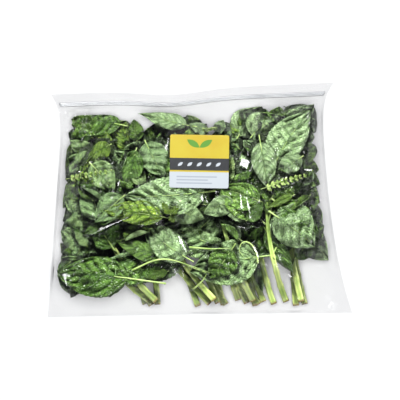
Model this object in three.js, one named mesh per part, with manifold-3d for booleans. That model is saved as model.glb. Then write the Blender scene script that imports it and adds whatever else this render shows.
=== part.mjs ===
// A bunch of cut basil packed flat in a clear zip bag that lies on its back.
// Millimetres, +Z up. +X runs along the bag's mouth and +Y from the cut stem ends to the mouth.
// The origin is the centre of the bag's footprint, on the surface that it lies on.

import * as THREE from "three";
import { mergeVertices } from "three/addons/utils/BufferGeometryUtils.js";
import Module from "manifold-3d";

const wasm = await Module();
wasm.setup();

// The bag: a press-to-close pouch whose sides are pulled in by what it holds, less near its lip and fold
const BAG_CORNERS = {
  bottomLeft: [-201, -155],
  bottomRight: [201, -149],
  topLeft: [-197, 139],
  topRight: [177, 155],
};
const PULL = { left: 17, right: 20, bottom: 1 };
const LIP_STIFFNESS = 14;
const FOOT_STIFFNESS = 4;
const MOUTH_DIP = { depth: 7, at: 0.43, width: 0.15 };
const FILM = 0.6;
const FILM_STEPS = { beside: 10, label: 5, below: 8, above: 4 };
const SEAL = 4;
const SEAL_SINK = 0.3;
const SHOULDER = 3;
const GAP = 0.3;

// The zip: two tracks pressed together inside the mouth
const ZIP_WIDTH = 5;
const ZIP_TRACK = 0.8;
const ZIP_DROP = 12;
const ZIP_STEPS = 14;
const ZIP_INSET = 0.06;

// The label on the bag's front, and the flat spot of film it sticks to as shares of the bag
const LABEL = { width: 76, height: 69, corner: 2.5, thickness: 0.6, turn: -1 };
const LABEL_SPOT = { left: 0.41, right: 0.647, bottom: 0.548, top: 0.802, slope: -0.12 };

// The room that the basil has inside the bag, how far it narrows upward and how softly its rim squeezes
const ROOM = { margin: 9, bottom: -137, topLeft: 113, topRight: 129 };
const NARROWING = 22;
const SQUEEZE = 14;
const INWARD_STEP = 8;

// Leaves: a broad oval blade with a drawn-out tip on a short stalk
const BLADE = 0.7;
const STALK = 1.6;
const STALK_HALF_WIDTH = 1.1;
const STATIONS = [0.12, 0.38, 0.66, 0.87];
const LONGEST_LEAF = 88;
const SHORTEST_LEAF = 60;
const TIP_LEAF = 48;

// Sprigs: a cut stem with opposite pairs of leaves and one leaf at its tip
const STEM_RADIUS = { cut: 3.6, tip: 1.5 };
const STEM_STEPS = 6;
const STEM_SIDES = 6;
const PAIRS = 3;
const PAIR_SPAN = { lowest: 0.44, highest: 0.92 };
const SIDE_TURN = 72;
const CROSSED_TURN = 28;
const SEED = 20;

// Stems from the bottom of the pile to its top: cut end x and y, tip x and y, sideways bow
const SPRIGS = [
  [-66, -135, -158, 60, 10],
  [-56, -133, -88, 60, -10],
  [-4, -136, -50, 76, 16],
  [30, -134, 10, 74, 18],
  [72, -135, 64, 76, 22],
  [126, -135, 124, 74, 10],
  [-70, -129, -150, -28, 20],
  [60, -132, 22, 44, 20],
  [10, -133, -118, 48, 18],
  [96, -133, 78, 50, 24],
  [132, -129, 112, 58, 14],
  [22, -131, -24, 50, 14],
  [-60, -129, -140, 4, 20],
  [16, -127, -76, 12, 14],
  [68, -129, 22, 6, 12],
  [112, -130, 86, 6, 14],
];

// Plucked leaves on top: stalk end x and y, heading in degrees, stalk length, blade length and width
const PLUCKED_LEAVES = [
  [-4, 95, 169, 14, 66, 26],
  [-44, -108, 172, 50, 94, 54],
  [8, -94, 160, 52, 72, 24],
  [20, 12, 187, 14, 104, 50],
  [92, 38, 64, 12, 80, 48],
  [-95, 97, 168, 10, 68, 36],
  [76, 84, -81, 10, 60, 32],
  [46, -56, -123, 10, 46, 38],
  [-8, -80, 150, 12, 72, 40],
  [-36, -24, 169, 12, 76, 32],
  [92, 2, -40, 12, 68, 46],
  [88, -14, -34, 10, 66, 56],
];

// How things lie on each other
const CELL = 2;
const CLEARANCE = 0.8;
const FREE_REACH = 10;
const STEM_REACH = 2;
const LEAF_SWEEPS = 60;
const LEAF_DROOP = 0.25;
const LEAF_STEEPEST = 0.8;
const FILM_SWEEPS = 400;
const CONTACT_SWEEPS = 15;
const LEAST_SHARE = 0.1;
const PRESSED_FLAT = 0.2;
const MERGE = 0.2;

const FILM_PLASTIC = new THREE.MeshStandardMaterial({
  color: 0xf2f5f6,
  roughness: 0.12,
  metalness: 0,
  transparent: true,
  opacity: 0.22,
});
const ZIP_PLASTIC = new THREE.MeshStandardMaterial({ color: 0xe4e9ec, roughness: 0.3, metalness: 0 });
const LABEL_PAPER = new THREE.MeshStandardMaterial({ color: 0xf0c419, roughness: 0.5, metalness: 0 });
const BASIL_LEAF = new THREE.MeshStandardMaterial({ color: 0x4d7a34, roughness: 0.6, metalness: 0 });

const { lerp, clamp, degToRad } = THREE.MathUtils;

// The same row of numbers from 0 to 1 for the same seed
function seededDraws(seed) {
  let state = seed;
  return () => {
    state = (state * 1664525 + 1013904223) % 4294967296;
    return state / 4294967296;
  };
}

// A coordinate eased back so that it never passes the limits
function squeeze(value, low, high) {
  const soft = (over) => SQUEEZE * (1 - Math.exp(-over / SQUEEZE));
  if (value > high - SQUEEZE) return high - SQUEEZE + soft(value - high + SQUEEZE);
  if (value < low + SQUEEZE) return low + SQUEEZE - soft(low + SQUEEZE - value);
  return value;
}

// The blade's half width along it, as a share of its widest
function outline(u) {
  return 2.813 * u ** 0.6 * (1 - u) ** 0.95;
}

// How far up a side of the bag a place lies
function shareUp(y, low, high) {
  return clamp((y - low[1]) / (high[1] - low[1]), 0, 1);
}

// The room's limits: its sides follow the bag's, and its top rises along the mouth
function roomLeft(y) {
  return bagPlan(0, shareUp(y, BAG_CORNERS.bottomLeft, BAG_CORNERS.topLeft))[0] + ROOM.margin;
}

function roomRight(y) {
  return bagPlan(1, shareUp(y, BAG_CORNERS.bottomRight, BAG_CORNERS.topRight))[0] - ROOM.margin;
}

function roomTop(x) {
  const { topLeft, topRight } = BAG_CORNERS;
  return lerp(ROOM.topLeft, ROOM.topRight, (x - topLeft[0]) / (topRight[0] - topLeft[0]));
}

// A leaf's heading, turned toward the middle of the room until its tip lies inside
function turnedInward(x, y, heading, reach, inset) {
  let turned = heading;
  for (let step = 0; step < 12; step++) {
    const tipX = x + Math.cos(turned) * reach;
    const tipY = y + Math.sin(turned) * reach;
    const fitsAcross = tipX > roomLeft(tipY) + inset && tipX < roomRight(tipY) - inset;
    if (fitsAcross && tipY > ROOM.bottom && tipY < roomTop(tipX) - inset) break;
    const inward = Math.atan2(-y, -x) - turned;
    turned += degToRad(Math.sin(inward) < 0 ? -INWARD_STEP : INWARD_STEP);
  }
  return turned;
}

// Where a point of a leaf lies in plan, forward from its stalk end and sideways off its midrib
function leafPlan(leaf, forward, side) {
  const u = Math.max(0, (forward - leaf.stalk) / leaf.length);
  const across = side + leaf.sweep * leaf.length * u * u;
  const x = leaf.x + Math.cos(leaf.heading) * forward - Math.sin(leaf.heading) * across;
  const y = leaf.y + Math.sin(leaf.heading) * forward + Math.cos(leaf.heading) * across;
  return [
    squeeze(x, roomLeft(y) + leaf.inset, roomRight(y) - leaf.inset),
    squeeze(y, ROOM.bottom, roomTop(x) - leaf.inset),
  ];
}

// How far a point of the blade stands above its lowest line: cupped, rolled, waved and arched
function leafRelief(leaf, u, v) {
  const cupped = leaf.cup > 0 ? leaf.cup * v * v : -leaf.cup * (1 - v * v);
  const rolled = (leaf.roll * (1 + v)) / 2;
  const waved = leaf.wave * Math.abs(v) * (1 + Math.sin(leaf.phase + 9 * u + v));
  return outline(u) * (cupped + rolled + waved) + leaf.arch * 4 * u * (1 - u);
}

// A leaf's size, place and shape, with its curl drawn by chance and flattened by what lies on it
function makeLeaf(x, y, heading, stalk, length, width, spring, draw) {
  return {
    x,
    y,
    heading,
    stalk,
    length,
    width,
    cup: spring * (10 * draw() - 5),
    roll: spring * 6 * draw(),
    wave: spring * (0.4 + draw()),
    phase: 6.28 * draw(),
    arch: spring * 4 * draw(),
    sweep: 0.3 * (draw() - 0.5),
    inset: 0,
  };
}

// One sprig in plan: its bowed stem and its leaves, from the lowest pair to the tip
function planSprig([cutX, cutY, tipX, tipY, bow], number) {
  const draw = seededDraws(SEED + number);
  const height = number / (SPRIGS.length - 1);
  const spring = lerp(PRESSED_FLAT, 1, height);
  const inset = NARROWING * height;
  const length = Math.hypot(tipX - cutX, tipY - cutY);
  const stem = new THREE.QuadraticBezierCurve(
    new THREE.Vector2(cutX, cutY),
    new THREE.Vector2(
      (cutX + tipX) / 2 - (bow * (tipY - cutY)) / length,
      (cutY + tipY) / 2 + (bow * (tipX - cutX)) / length,
    ),
    new THREE.Vector2(tipX, tipY),
  );
  const leaves = [];
  const grow = (along, turn, size) => {
    const root = stem.getPoint(along);
    const tangent = stem.getTangent(along);
    const blade = size * (0.85 + 0.3 * draw());
    const width = blade * (0.56 + 0.12 * draw());
    const outward = Math.atan2(tangent.y, tangent.x) + degToRad(turn + 60 * (draw() - 0.5));
    const heading = turnedInward(root.x, root.y, outward, 1.2 * blade, inset);
    const leaf = makeLeaf(root.x, root.y, heading, 0.2 * blade, blade, width, spring, draw);
    leaves.push({ ...leaf, along, inset });
  };
  for (let pair = 0; pair < PAIRS; pair++) {
    const rise = pair / (PAIRS - 1);
    const along = lerp(PAIR_SPAN.lowest, PAIR_SPAN.highest, rise ** 0.8);
    const size = lerp(LONGEST_LEAF, SHORTEST_LEAF, rise);
    const turn = pair % 2 ? CROSSED_TURN : SIDE_TURN;
    for (const side of [-1, 1]) grow(along, side * turn, size);
  }
  grow(0.985, 0, TIP_LEAF);
  return { stem, leaves };
}

// The pile: how high the things laid so far reach over each cell of the bag's footprint
class Pile {
  constructor(floor) {
    this.columns = Math.ceil(420 / CELL);
    this.rows = Math.ceil(330 / CELL);
    this.heights = new Float32Array(this.columns * this.rows).fill(floor);
  }

  cellAt(x, y) {
    const column = Math.floor(x / CELL + this.columns / 2);
    const row = Math.floor(y / CELL + this.rows / 2);
    return row * this.columns + column;
  }

  centreOf(cell) {
    const column = cell % this.columns;
    const row = (cell - column) / this.columns;
    return [(column + 0.5 - this.columns / 2) * CELL, (row + 0.5 - this.rows / 2) * CELL];
  }

  // The cells whose centres lie in a triangle, each with its three corner weights
  cellsIn(a, b, c) {
    const found = [];
    const area = (b.x - a.x) * (c.y - a.y) - (c.x - a.x) * (b.y - a.y);
    const top = Math.max(a.y, b.y, c.y);
    const right = Math.max(a.x, b.x, c.x);
    const [firstX, firstY] = this.centreOf(this.cellAt(Math.min(a.x, b.x, c.x), Math.min(a.y, b.y, c.y)));
    for (let y = firstY; y <= top; y += CELL) {
      for (let x = firstX; x <= right; x += CELL) {
        const wb = ((x - a.x) * (c.y - a.y) - (c.x - a.x) * (y - a.y)) / area;
        const wc = ((b.x - a.x) * (y - a.y) - (x - a.x) * (b.y - a.y)) / area;
        const wa = 1 - wb - wc;
        if (wa >= 0 && wb >= 0 && wc >= 0) found.push({ cell: this.cellAt(x, y), weights: [wa, wb, wc] });
      }
    }
    return found;
  }

  // Raises a cell and the cells round it
  raise(cell, height) {
    for (const row of [-this.columns, 0, this.columns]) {
      for (const column of [-1, 0, 1]) {
        const near = cell + row + column;
        this.heights[near] = Math.max(this.heights[near], height);
      }
    }
  }

  layPatch(points, triangles) {
    for (const triangle of triangles) {
      const corners = triangle.map((i) => points[i]);
      for (const { cell, weights } of this.cellsIn(...corners)) {
        this.raise(cell, corners.reduce((sum, p, i) => sum + weights[i] * upper(p), 0));
      }
    }
    for (const p of points) this.raise(this.cellAt(p.x, p.y), upper(p));
  }

  layRod(from, to) {
    const steps = Math.ceil(from.centre.distanceTo(to.centre) / CELL);
    for (let step = 0; step <= steps; step++) {
      const point = from.centre.clone().lerp(to.centre, step / steps);
      const radius = lerp(from.radius, to.radius, step / steps);
      for (const cell of this.cellsNear(point.x, point.y, radius)) this.raise(cell, point.z + radius);
    }
  }

  cellsNear(x, y, reach) {
    const found = [];
    for (let dy = -reach; dy <= reach; dy += CELL) {
      for (let dx = -reach; dx <= reach; dx += CELL) {
        if (Math.hypot(dx, dy) <= reach) found.push(this.cellAt(x + dx, y + dy));
      }
    }
    return found;
  }

  // Adds what another pile holds
  takeIn(other) {
    other.heights.forEach((height, cell) => {
      this.heights[cell] = Math.max(this.heights[cell], height);
    });
  }

  heightAt(x, y) {
    return this.heights[this.cellAt(x, y)];
  }

  highestNear(x, y, reach) {
    return Math.max(...this.cellsNear(x, y, reach).map((cell) => this.heights[cell]));
  }
}

// A patch point's z is its resting height, on which its relief and half its thickness stand
const middle = (p) => p.z + p.relief;
const upper = (p) => middle(p) + p.thickness / 2;
const lower = (p) => middle(p) - p.thickness / 2;

// Lets a patch sag like a skin, no steeper than allowed, until it rests on the ground heights of its cells
function drape(points, triangles, pile, groundAt, { sweeps, droop, steepest }) {
  const spans = triangles.map((t) => pile.cellsIn(...t.map((i) => points[i])));
  const links = points.map(() => new Set());
  for (const [a, b, c] of triangles) {
    for (const [from, to] of [[a, b], [b, c], [c, a], [b, a], [c, b], [a, c]]) links[from].add(to);
  }
  for (let sweep = 0; sweep < sweeps + CONTACT_SWEEPS; sweep++) {
    if (sweep < sweeps) {
      points.forEach((p, i) => {
        if (p.fixed) return;
        let sum = 0;
        for (const j of links[i]) sum += points[j].z;
        p.z = sum / links[i].size - droop;
      });
    }
    points.forEach((p, i) => {
      if (p.fixed) return;
      for (const j of links[i]) {
        const run = Math.hypot(points[j].x - p.x, points[j].y - p.y);
        p.z = Math.max(p.z, points[j].z - steepest * run);
      }
    });
    triangles.forEach((triangle, n) => {
      const corners = triangle.map((i) => points[i]);
      for (const { cell, weights } of spans[n]) {
        const height = corners.reduce((sum, p, i) => sum + weights[i] * lower(p), 0);
        const share = corners.reduce((sum, p, i) => sum + (p.fixed ? 0 : weights[i] ** 2), 0);
        const short = groundAt(cell) + CLEARANCE - height;
        if (short <= 0 || share < LEAST_SHARE) continue;
        corners.forEach((p, i) => (p.z += p.fixed ? 0 : (short * weights[i]) / share));
      }
    });
    for (const p of points) {
      const short = groundAt(pile.cellAt(p.x, p.y)) + CLEARANCE - lower(p);
      if (!p.fixed && short > 0) p.z += short;
    }
  }
}

// A closed solid from a triangulated patch: its upper face, the same face lower down and a wall round its rim
function plate(points, triangles) {
  const count = points.length;
  const position = new Float32Array(count * 6);
  points.forEach((p, i) => {
    position.set([p.x, p.y, upper(p)], i * 3);
    position.set([p.x, p.y, lower(p)], (count + i) * 3);
  });
  const index = [];
  const edges = new Set();
  for (const [a, b, c] of triangles) {
    index.push(a, b, c, count + a, count + c, count + b);
    for (const [from, to] of [[a, b], [b, c], [c, a]]) edges.add(`${from} ${to}`);
  }
  for (const edge of edges) {
    const [from, to] = edge.split(" ").map(Number);
    if (edges.has(`${to} ${from}`)) continue;
    index.push(count + from, count + to, to, count + from, to, from);
  }
  return new THREE.BufferGeometry()
    .setAttribute("position", new THREE.BufferAttribute(position, 3))
    .setIndex(index);
}

// Geometry to solid and back, for joining
function solid(geometry) {
  geometry.deleteAttribute("normal");
  geometry.deleteAttribute("uv");
  const merged = mergeVertices(geometry);
  return new wasm.Manifold(
    new wasm.Mesh({
      numProp: 3,
      vertProperties: merged.attributes.position.array,
      triVerts: new Uint32Array(merged.index.array),
    }),
  );
}

function joined(geometries) {
  const { vertProperties, triVerts } = geometries
    .map(solid)
    .reduce((whole, piece) => whole.add(piece))
    .simplify(MERGE)
    .getMesh();
  return new THREE.BufferGeometry()
    .setAttribute("position", new THREE.BufferAttribute(vertProperties, 3))
    .setIndex(new THREE.BufferAttribute(triVerts, 1));
}

function node(name, geometry, material) {
  geometry.computeVertexNormals();
  const mesh = new THREE.Mesh(geometry, material);
  mesh.name = name;
  return mesh;
}

// Triangles of a leaf's patch: stalk end, neck, one row of three points for each station, then the tip
function leafTriangles() {
  const triangles = [[0, 1, 3], [0, 3, 2], [2, 3, 5], [2, 5, 4], [3, 6, 5]];
  const rows = STATIONS.length;
  for (let row = 0; row < rows - 1; row++) {
    const a = 4 + 3 * row;
    triangles.push([a, a + 1, a + 4], [a, a + 4, a + 3]);
    triangles.push([a + 1, a + 2, a + 4], [a + 2, a + 5, a + 4]);
  }
  const last = 4 + 3 * (rows - 1);
  triangles.push([last, last + 1, last + 3], [last + 1, last + 2, last + 3]);
  return triangles;
}
const LEAF_TRIANGLES = leafTriangles();

// A leaf's patch points at the height of its stalk end, which may be held by a stem
function leafPatch(leaf, rootHeight, held) {
  const points = [];
  const add = (forward, side, relief, thickness, fixed) => {
    const [x, y] = leafPlan(leaf, forward, side);
    points.push({ x, y, z: rootHeight, relief, thickness, fixed });
  };
  for (const forward of [0, leaf.stalk]) {
    for (const v of [1, -1]) add(forward, v * STALK_HALF_WIDTH, 0, STALK, held && forward === 0);
  }
  for (const u of STATIONS) {
    const half = (leaf.width / 2) * outline(u);
    for (const v of [1, 0, -1]) {
      add(leaf.stalk + u * leaf.length, v * half, leafRelief(leaf, u, v), BLADE, false);
    }
  }
  add(leaf.stalk + leaf.length, 0, 0, BLADE, false);
  return points;
}

// A stem's stations, each lying on what is already under it
function layStem(stem, pile) {
  const stations = [];
  for (let step = 0; step <= STEM_STEPS; step++) {
    const along = step / STEM_STEPS;
    const radius = lerp(STEM_RADIUS.cut, STEM_RADIUS.tip, along);
    const plan = stem.getPoint(along);
    let need = 0;
    for (let near = -0.5; near <= 0.5; near += 0.1) {
      const beside = stem.getPoint(clamp(along + near / STEM_STEPS, 0, 1));
      need = Math.max(need, pile.highestNear(beside.x, beside.y, radius + STEM_REACH));
    }
    need += CLEARANCE + radius;
    stations.push({ centre: new THREE.Vector3(plan.x, plan.y, need), radius, need });
  }
  for (let sweep = 0; sweep < LEAF_SWEEPS; sweep++) {
    for (let i = 1; i < STEM_STEPS; i++) {
      const level = (stations[i - 1].centre.z + stations[i + 1].centre.z) / 2;
      stations[i].centre.z = Math.max(stations[i].need, level);
    }
  }
  return stations;
}

function heightAlong(stations, along) {
  const step = Math.min(Math.floor(along * STEM_STEPS), STEM_STEPS - 1);
  return lerp(stations[step].centre.z, stations[step + 1].centre.z, along * STEM_STEPS - step);
}

// A tapered rod through a stem's stations
function stemGeometry(stations) {
  const rod = new THREE.CylinderGeometry(1, 1, STEM_STEPS, STEM_SIDES, STEM_STEPS);
  const position = rod.getAttribute("position");
  for (let i = 0; i < position.count; i++) {
    const step = Math.round(position.getY(i) + STEM_STEPS / 2);
    const { centre, radius } = stations[step];
    const before = stations[Math.max(step - 1, 0)].centre;
    const after = stations[Math.min(step + 1, STEM_STEPS)].centre;
    const side = new THREE.Vector3(before.y - after.y, after.x - before.x, 0).normalize();
    const point = centre.clone().addScaledVector(side, position.getZ(i) * radius);
    position.setXYZ(i, point.x, point.y, point.z + position.getX(i) * radius);
  }
  return rod;
}

// Lays one leaf over the pile and over its own sprig, which it may touch only near its root
function layLeaf(leaf, rootHeight, held, pile, own) {
  const points = leafPatch(leaf, rootHeight, held);
  const groundAt = (cell) => {
    const [x, y] = pile.centreOf(cell);
    const free = Math.hypot(x - leaf.x, y - leaf.y) < FREE_REACH;
    return free ? pile.heights[cell] : Math.max(pile.heights[cell], own.heights[cell]);
  };
  const skin = { sweeps: LEAF_SWEEPS, droop: LEAF_DROOP, steepest: LEAF_STEEPEST };
  drape(points, LEAF_TRIANGLES, pile, groundAt, skin);
  own.layPatch(points, LEAF_TRIANGLES);
  return points;
}

// Lays a whole sprig on the pile and joins its stem and leaves
function laySprig(plan, pile) {
  const own = new Pile(0);
  const stations = layStem(plan.stem, pile);
  for (let step = 0; step < STEM_STEPS; step++) own.layRod(stations[step], stations[step + 1]);
  const patches = plan.leaves.map((leaf) => {
    return layLeaf(leaf, heightAlong(stations, leaf.along), true, pile, own);
  });
  pile.takeIn(own);
  return joined([stemGeometry(stations), ...patches.map((points) => plate(points, LEAF_TRIANGLES))]);
}

// Lays a plucked leaf on the pile
function layPlucked([x, y, heading, stalk, length, width], number, pile) {
  const draw = seededDraws(SEED * 100 + number);
  const leaf = makeLeaf(x, y, degToRad(heading), stalk, length, width, 1, draw);
  const own = new Pile(0);
  const rootHeight = pile.highestNear(x, y, STEM_REACH) + CLEARANCE + STALK;
  const points = layLeaf(leaf, rootHeight, false, pile, own);
  pile.takeIn(own);
  return plate(points, LEAF_TRIANGLES);
}

// The bag in plan, with s from its left side to its right and t from its bottom fold to its mouth
function bagPlan(s, t) {
  const { bottomLeft, bottomRight, topLeft, topRight } = BAG_CORNERS;
  const along = (axis) => {
    const low = lerp(bottomLeft[axis], bottomRight[axis], s);
    const high = lerp(topLeft[axis], topRight[axis], s);
    return lerp(low, high, t);
  };
  const lip = 1 - t ** LIP_STIFFNESS;
  const foot = 1 - (1 - t) ** FOOT_STIFFNESS;
  const x = along(0) + lip * (PULL.left * t * (1 - s) - PULL.right * foot * s);
  const fold = 4 * s * (1 - s) * PULL.bottom * (1 - t);
  const dip = MOUTH_DIP.depth * Math.exp(-(((s - MOUTH_DIP.at) / MOUTH_DIP.width) ** 2)) * t ** 4;
  return [x, along(1) + fold - dip];
}

// Evenly spaced shares from low to high
function spread(low, high, count) {
  return Array.from({ length: count + 1 }, (_, i) => lerp(low, high, i / count));
}

function gridTriangles(columns, rows) {
  const triangles = [];
  for (let row = 0; row < rows - 1; row++) {
    for (let column = 0; column < columns - 1; column++) {
      const a = row * columns + column;
      triangles.push([a, a + 1, a + columns + 1], [a, a + columns + 1, a + columns]);
    }
  }
  return triangles;
}

const BAG_WIDTH = BAG_CORNERS.bottomRight[0] - BAG_CORNERS.bottomLeft[0];
const BAG_HEIGHT = BAG_CORNERS.topRight[1] - BAG_CORNERS.bottomLeft[1];
const ZIP_LOW = 1 - (ZIP_DROP + ZIP_WIDTH) / BAG_HEIGHT;
const ZIP_HIGH = 1 - ZIP_DROP / BAG_HEIGHT;
const BACK_TRACK = FILM + GAP;
const FRONT_TRACK = BACK_TRACK + ZIP_TRACK + GAP;
const MOUTH_FILM = FRONT_TRACK + ZIP_TRACK + GAP;

// The label's plane, just clear of all that lies under its flat spot
function labelPlane(pile) {
  const { left, right, bottom, top, slope } = LABEL_SPOT;
  const [x, y] = bagPlan((left + right) / 2, (bottom + top) / 2);
  let height = 0;
  for (const t of spread(bottom, top, 60)) {
    for (const s of spread(left, right, 60)) {
      const [overX, overY] = bagPlan(s, t);
      height = Math.max(height, pile.heightAt(overX, overY) + CLEARANCE - slope * (overY - y));
    }
  }
  return { x, y, height, at: (overY) => height + slope * (overY - y) };
}

// The front film over the pile, flat under the label, with the shares of its columns and rows
function layFrontFilm(pile, plane) {
  const { left, right, bottom, top } = LABEL_SPOT;
  const seal = SEAL / BAG_WIDTH;
  const shoulder = (SEAL + SHOULDER) / BAG_WIDTH;
  const across = [
    ...spread(shoulder, left, FILM_STEPS.beside),
    ...spread(left, right, FILM_STEPS.label),
    ...spread(right, 1 - shoulder, FILM_STEPS.beside),
  ];
  const columns = [0, seal, ...new Set(across), 1 - seal, 1];
  const foot = (SEAL + SHOULDER) / BAG_HEIGHT;
  const up = [
    ...spread(foot, bottom, FILM_STEPS.below),
    ...spread(bottom, top, FILM_STEPS.label),
    ...spread(top, ZIP_LOW - seal, FILM_STEPS.above),
  ];
  const rows = [0, SEAL / BAG_HEIGHT, ...new Set(up), ZIP_HIGH, 1];
  const points = [];
  rows.forEach((t, row) => {
    columns.forEach((s, column) => {
      const [x, y] = bagPlan(s, t);
      const onSeal = row < 2 || column < 2 || column > columns.length - 3;
      const onMouth = row > rows.length - 4;
      const onLabel = s >= left && s <= right && t >= bottom && t <= top;
      let z = plane.at(y);
      if (onMouth) z = MOUTH_FILM;
      if (onSeal) z = SEAL_SINK;
      const fixed = onSeal || onMouth || onLabel;
      points.push({ x, y, z: z + FILM / 2, relief: 0, thickness: FILM, fixed });
    });
  });
  const triangles = gridTriangles(columns.length, rows.length);
  const skin = { sweeps: FILM_SWEEPS, droop: 0, steepest: Infinity };
  drape(points, triangles, pile, (cell) => pile.heights[cell], skin);
  return { points, triangles, columns, rows };
}

// The flat back film, cut to the front film's rim
function backFilm({ points, columns, rows }) {
  const width = columns.length;
  const last = rows.length - 1;
  const rim = [
    ...columns.map((_, i) => i),
    ...spread(1, last - 1, last - 2).map((row) => Math.round(row) * width + width - 1),
    ...columns.map((_, i) => last * width + width - 1 - i),
    ...spread(last - 1, 1, last - 2).map((row) => Math.round(row) * width),
  ];
  const flat = rim.map((i) => ({ ...points[i], z: FILM / 2 }));
  const contour = flat.map((p) => new THREE.Vector2(p.x, p.y));
  return plate(flat, THREE.ShapeUtils.triangulateShape(contour, []));
}

// One track of the zip, along the mouth at the height given
function zipTrack(base) {
  const shares = spread(ZIP_INSET, 1 - ZIP_INSET, ZIP_STEPS);
  const points = [ZIP_LOW, ZIP_HIGH].flatMap((t) =>
    shares.map((s) => {
      const [x, y] = bagPlan(s, t);
      return { x, y, z: base + ZIP_TRACK / 2, relief: 0, thickness: ZIP_TRACK };
    }),
  );
  return plate(points, gridTriangles(shares.length, 2));
}

function labelGeometry() {
  const { width, height, corner, thickness } = LABEL;
  const shape = new THREE.Shape();
  shape.moveTo(-width / 2 + corner, -height / 2);
  shape.lineTo(width / 2 - corner, -height / 2);
  shape.absarc(width / 2 - corner, -height / 2 + corner, corner, -Math.PI / 2, 0);
  shape.absarc(width / 2 - corner, height / 2 - corner, corner, 0, Math.PI / 2);
  shape.absarc(-width / 2 + corner, height / 2 - corner, corner, Math.PI / 2, Math.PI);
  shape.absarc(-width / 2 + corner, -height / 2 + corner, corner, Math.PI, 1.5 * Math.PI);
  return new THREE.ExtrudeGeometry(shape, { depth: thickness, bevelEnabled: false, curveSegments: 3 });
}

// Assembly: the sprigs from the bottom of the pile up, the plucked leaves on them, then the bag round all
const twoDigits = (number) => String(number + 1).padStart(2, "0");
const pile = new Pile(FILM);
const bunch = new THREE.Group();
SPRIGS.forEach((row, number) => {
  const geometry = laySprig(planSprig(row, number), pile);
  bunch.add(node(`basil_sprig_${twoDigits(number)}`, geometry, BASIL_LEAF));
});
PLUCKED_LEAVES.forEach((row, number) => {
  const geometry = layPlucked(row, number, pile);
  bunch.add(node(`plucked_leaf_${twoDigits(number)}`, geometry, BASIL_LEAF));
});

const plane = labelPlane(pile);
const front = layFrontFilm(pile, plane);
const label = node("label", labelGeometry(), LABEL_PAPER);
label.position.set(plane.x, plane.y, plane.height + FILM + GAP);
label.rotation.set(Math.atan(LABEL_SPOT.slope), 0, degToRad(LABEL.turn));

const baggedBasil = new THREE.Group();
baggedBasil.add(
  bunch,
  node("bag", joined([plate(front.points, front.triangles), backFilm(front)]), FILM_PLASTIC),
  node("zip_track_back", zipTrack(BACK_TRACK), ZIP_PLASTIC),
  node("zip_track_front", zipTrack(FRONT_TRACK), ZIP_PLASTIC),
  label,
);

export default baggedBasil;
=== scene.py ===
# %% [markdown]
# # A bunch of basil in a clear zip bag
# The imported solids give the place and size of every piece: cut sprigs with their leaves, plucked leaves on
# top, the bag with its zip, and a label. This lesson dresses them. Leaves get veins, puckers and two
# different faces, stems get joints and cut ends, and the bag becomes a thin film that lies on what it
# holds.

# %% Load the frame
import math
from dataclasses import dataclass

import bmesh
import bpy
import numpy as np
from mathutils import Matrix, Vector
from mathutils.bvhtree import BVHTree


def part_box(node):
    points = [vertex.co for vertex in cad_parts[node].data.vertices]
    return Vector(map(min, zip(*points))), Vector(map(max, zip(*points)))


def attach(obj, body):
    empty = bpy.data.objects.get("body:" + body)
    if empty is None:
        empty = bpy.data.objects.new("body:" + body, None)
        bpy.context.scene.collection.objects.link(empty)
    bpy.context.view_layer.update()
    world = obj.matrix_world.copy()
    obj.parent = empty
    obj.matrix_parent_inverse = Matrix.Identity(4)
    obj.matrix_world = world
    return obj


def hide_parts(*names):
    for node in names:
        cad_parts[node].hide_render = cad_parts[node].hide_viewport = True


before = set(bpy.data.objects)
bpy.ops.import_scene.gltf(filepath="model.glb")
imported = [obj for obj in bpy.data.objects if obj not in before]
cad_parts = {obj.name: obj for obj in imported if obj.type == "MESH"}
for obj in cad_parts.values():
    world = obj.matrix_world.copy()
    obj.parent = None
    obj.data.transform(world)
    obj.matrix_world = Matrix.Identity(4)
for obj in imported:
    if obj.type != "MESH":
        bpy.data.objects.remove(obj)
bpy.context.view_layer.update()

MM = 0.001

# %% [markdown]
# ## Camera, floor and light
# The picture looks straight down, and nothing in it narrows with distance, so the camera hangs high over
# the bag with a long lens. One strong soft box beyond the bag's mouth and two weaker ones light the leaves,
# and a box of its own keeps the plain floor pale. A film that lies nearly level mirrors what stands beside
# the camera, so smaller boxes and strips stand there, light only the film, and show as its gleams.

# %% Camera
PICTURE_SPAN = 0.528
LENS = 150

camera_data = bpy.data.cameras.new("camera")
camera_data.lens = LENS
camera = bpy.data.objects.new("camera", camera_data)
bpy.context.scene.collection.objects.link(camera)
camera.location = (0, 0, PICTURE_SPAN * LENS / camera_data.sensor_width)
bpy.context.scene.camera = camera
bpy.context.scene.view_settings.view_transform = "Standard"
print("camera height", round(camera.location.z, 3))

# %% Small helpers for nodes
def make_material(name):
    material = bpy.data.materials.new(name)
    material.use_nodes = True
    return material, material.node_tree, material.node_tree.nodes["Principled BSDF"]


def set_inputs(tree, node, inputs):
    for key, value in inputs.items():
        if isinstance(value, bpy.types.NodeSocket):
            tree.links.new(value, node.inputs[key])
        else:
            node.inputs[key].default_value = value


def add_node(tree, kind, inputs=None, **settings):
    made = tree.nodes.new("ShaderNode" + kind)
    for name, value in settings.items():
        setattr(made, name, value)
    set_inputs(tree, made, inputs or {})
    return made


def compute(tree, operation, *values, clamp=False):
    return add_node(tree, "Math", dict(enumerate(values)), operation=operation, use_clamp=clamp).outputs[0]


def ramp(tree, value, low, high, to_low=0.0, to_high=1.0):
    inputs = {"Value": value, "From Min": low, "From Max": high, "To Min": to_low, "To Max": to_high}
    return add_node(tree, "MapRange", inputs, clamp=True, interpolation_type="SMOOTHSTEP").outputs[0]


def mix_colours(tree, factor, first, second):
    return add_node(tree, "Mix", {0: factor, 6: first, 7: second}, data_type="RGBA").outputs[2]


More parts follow.
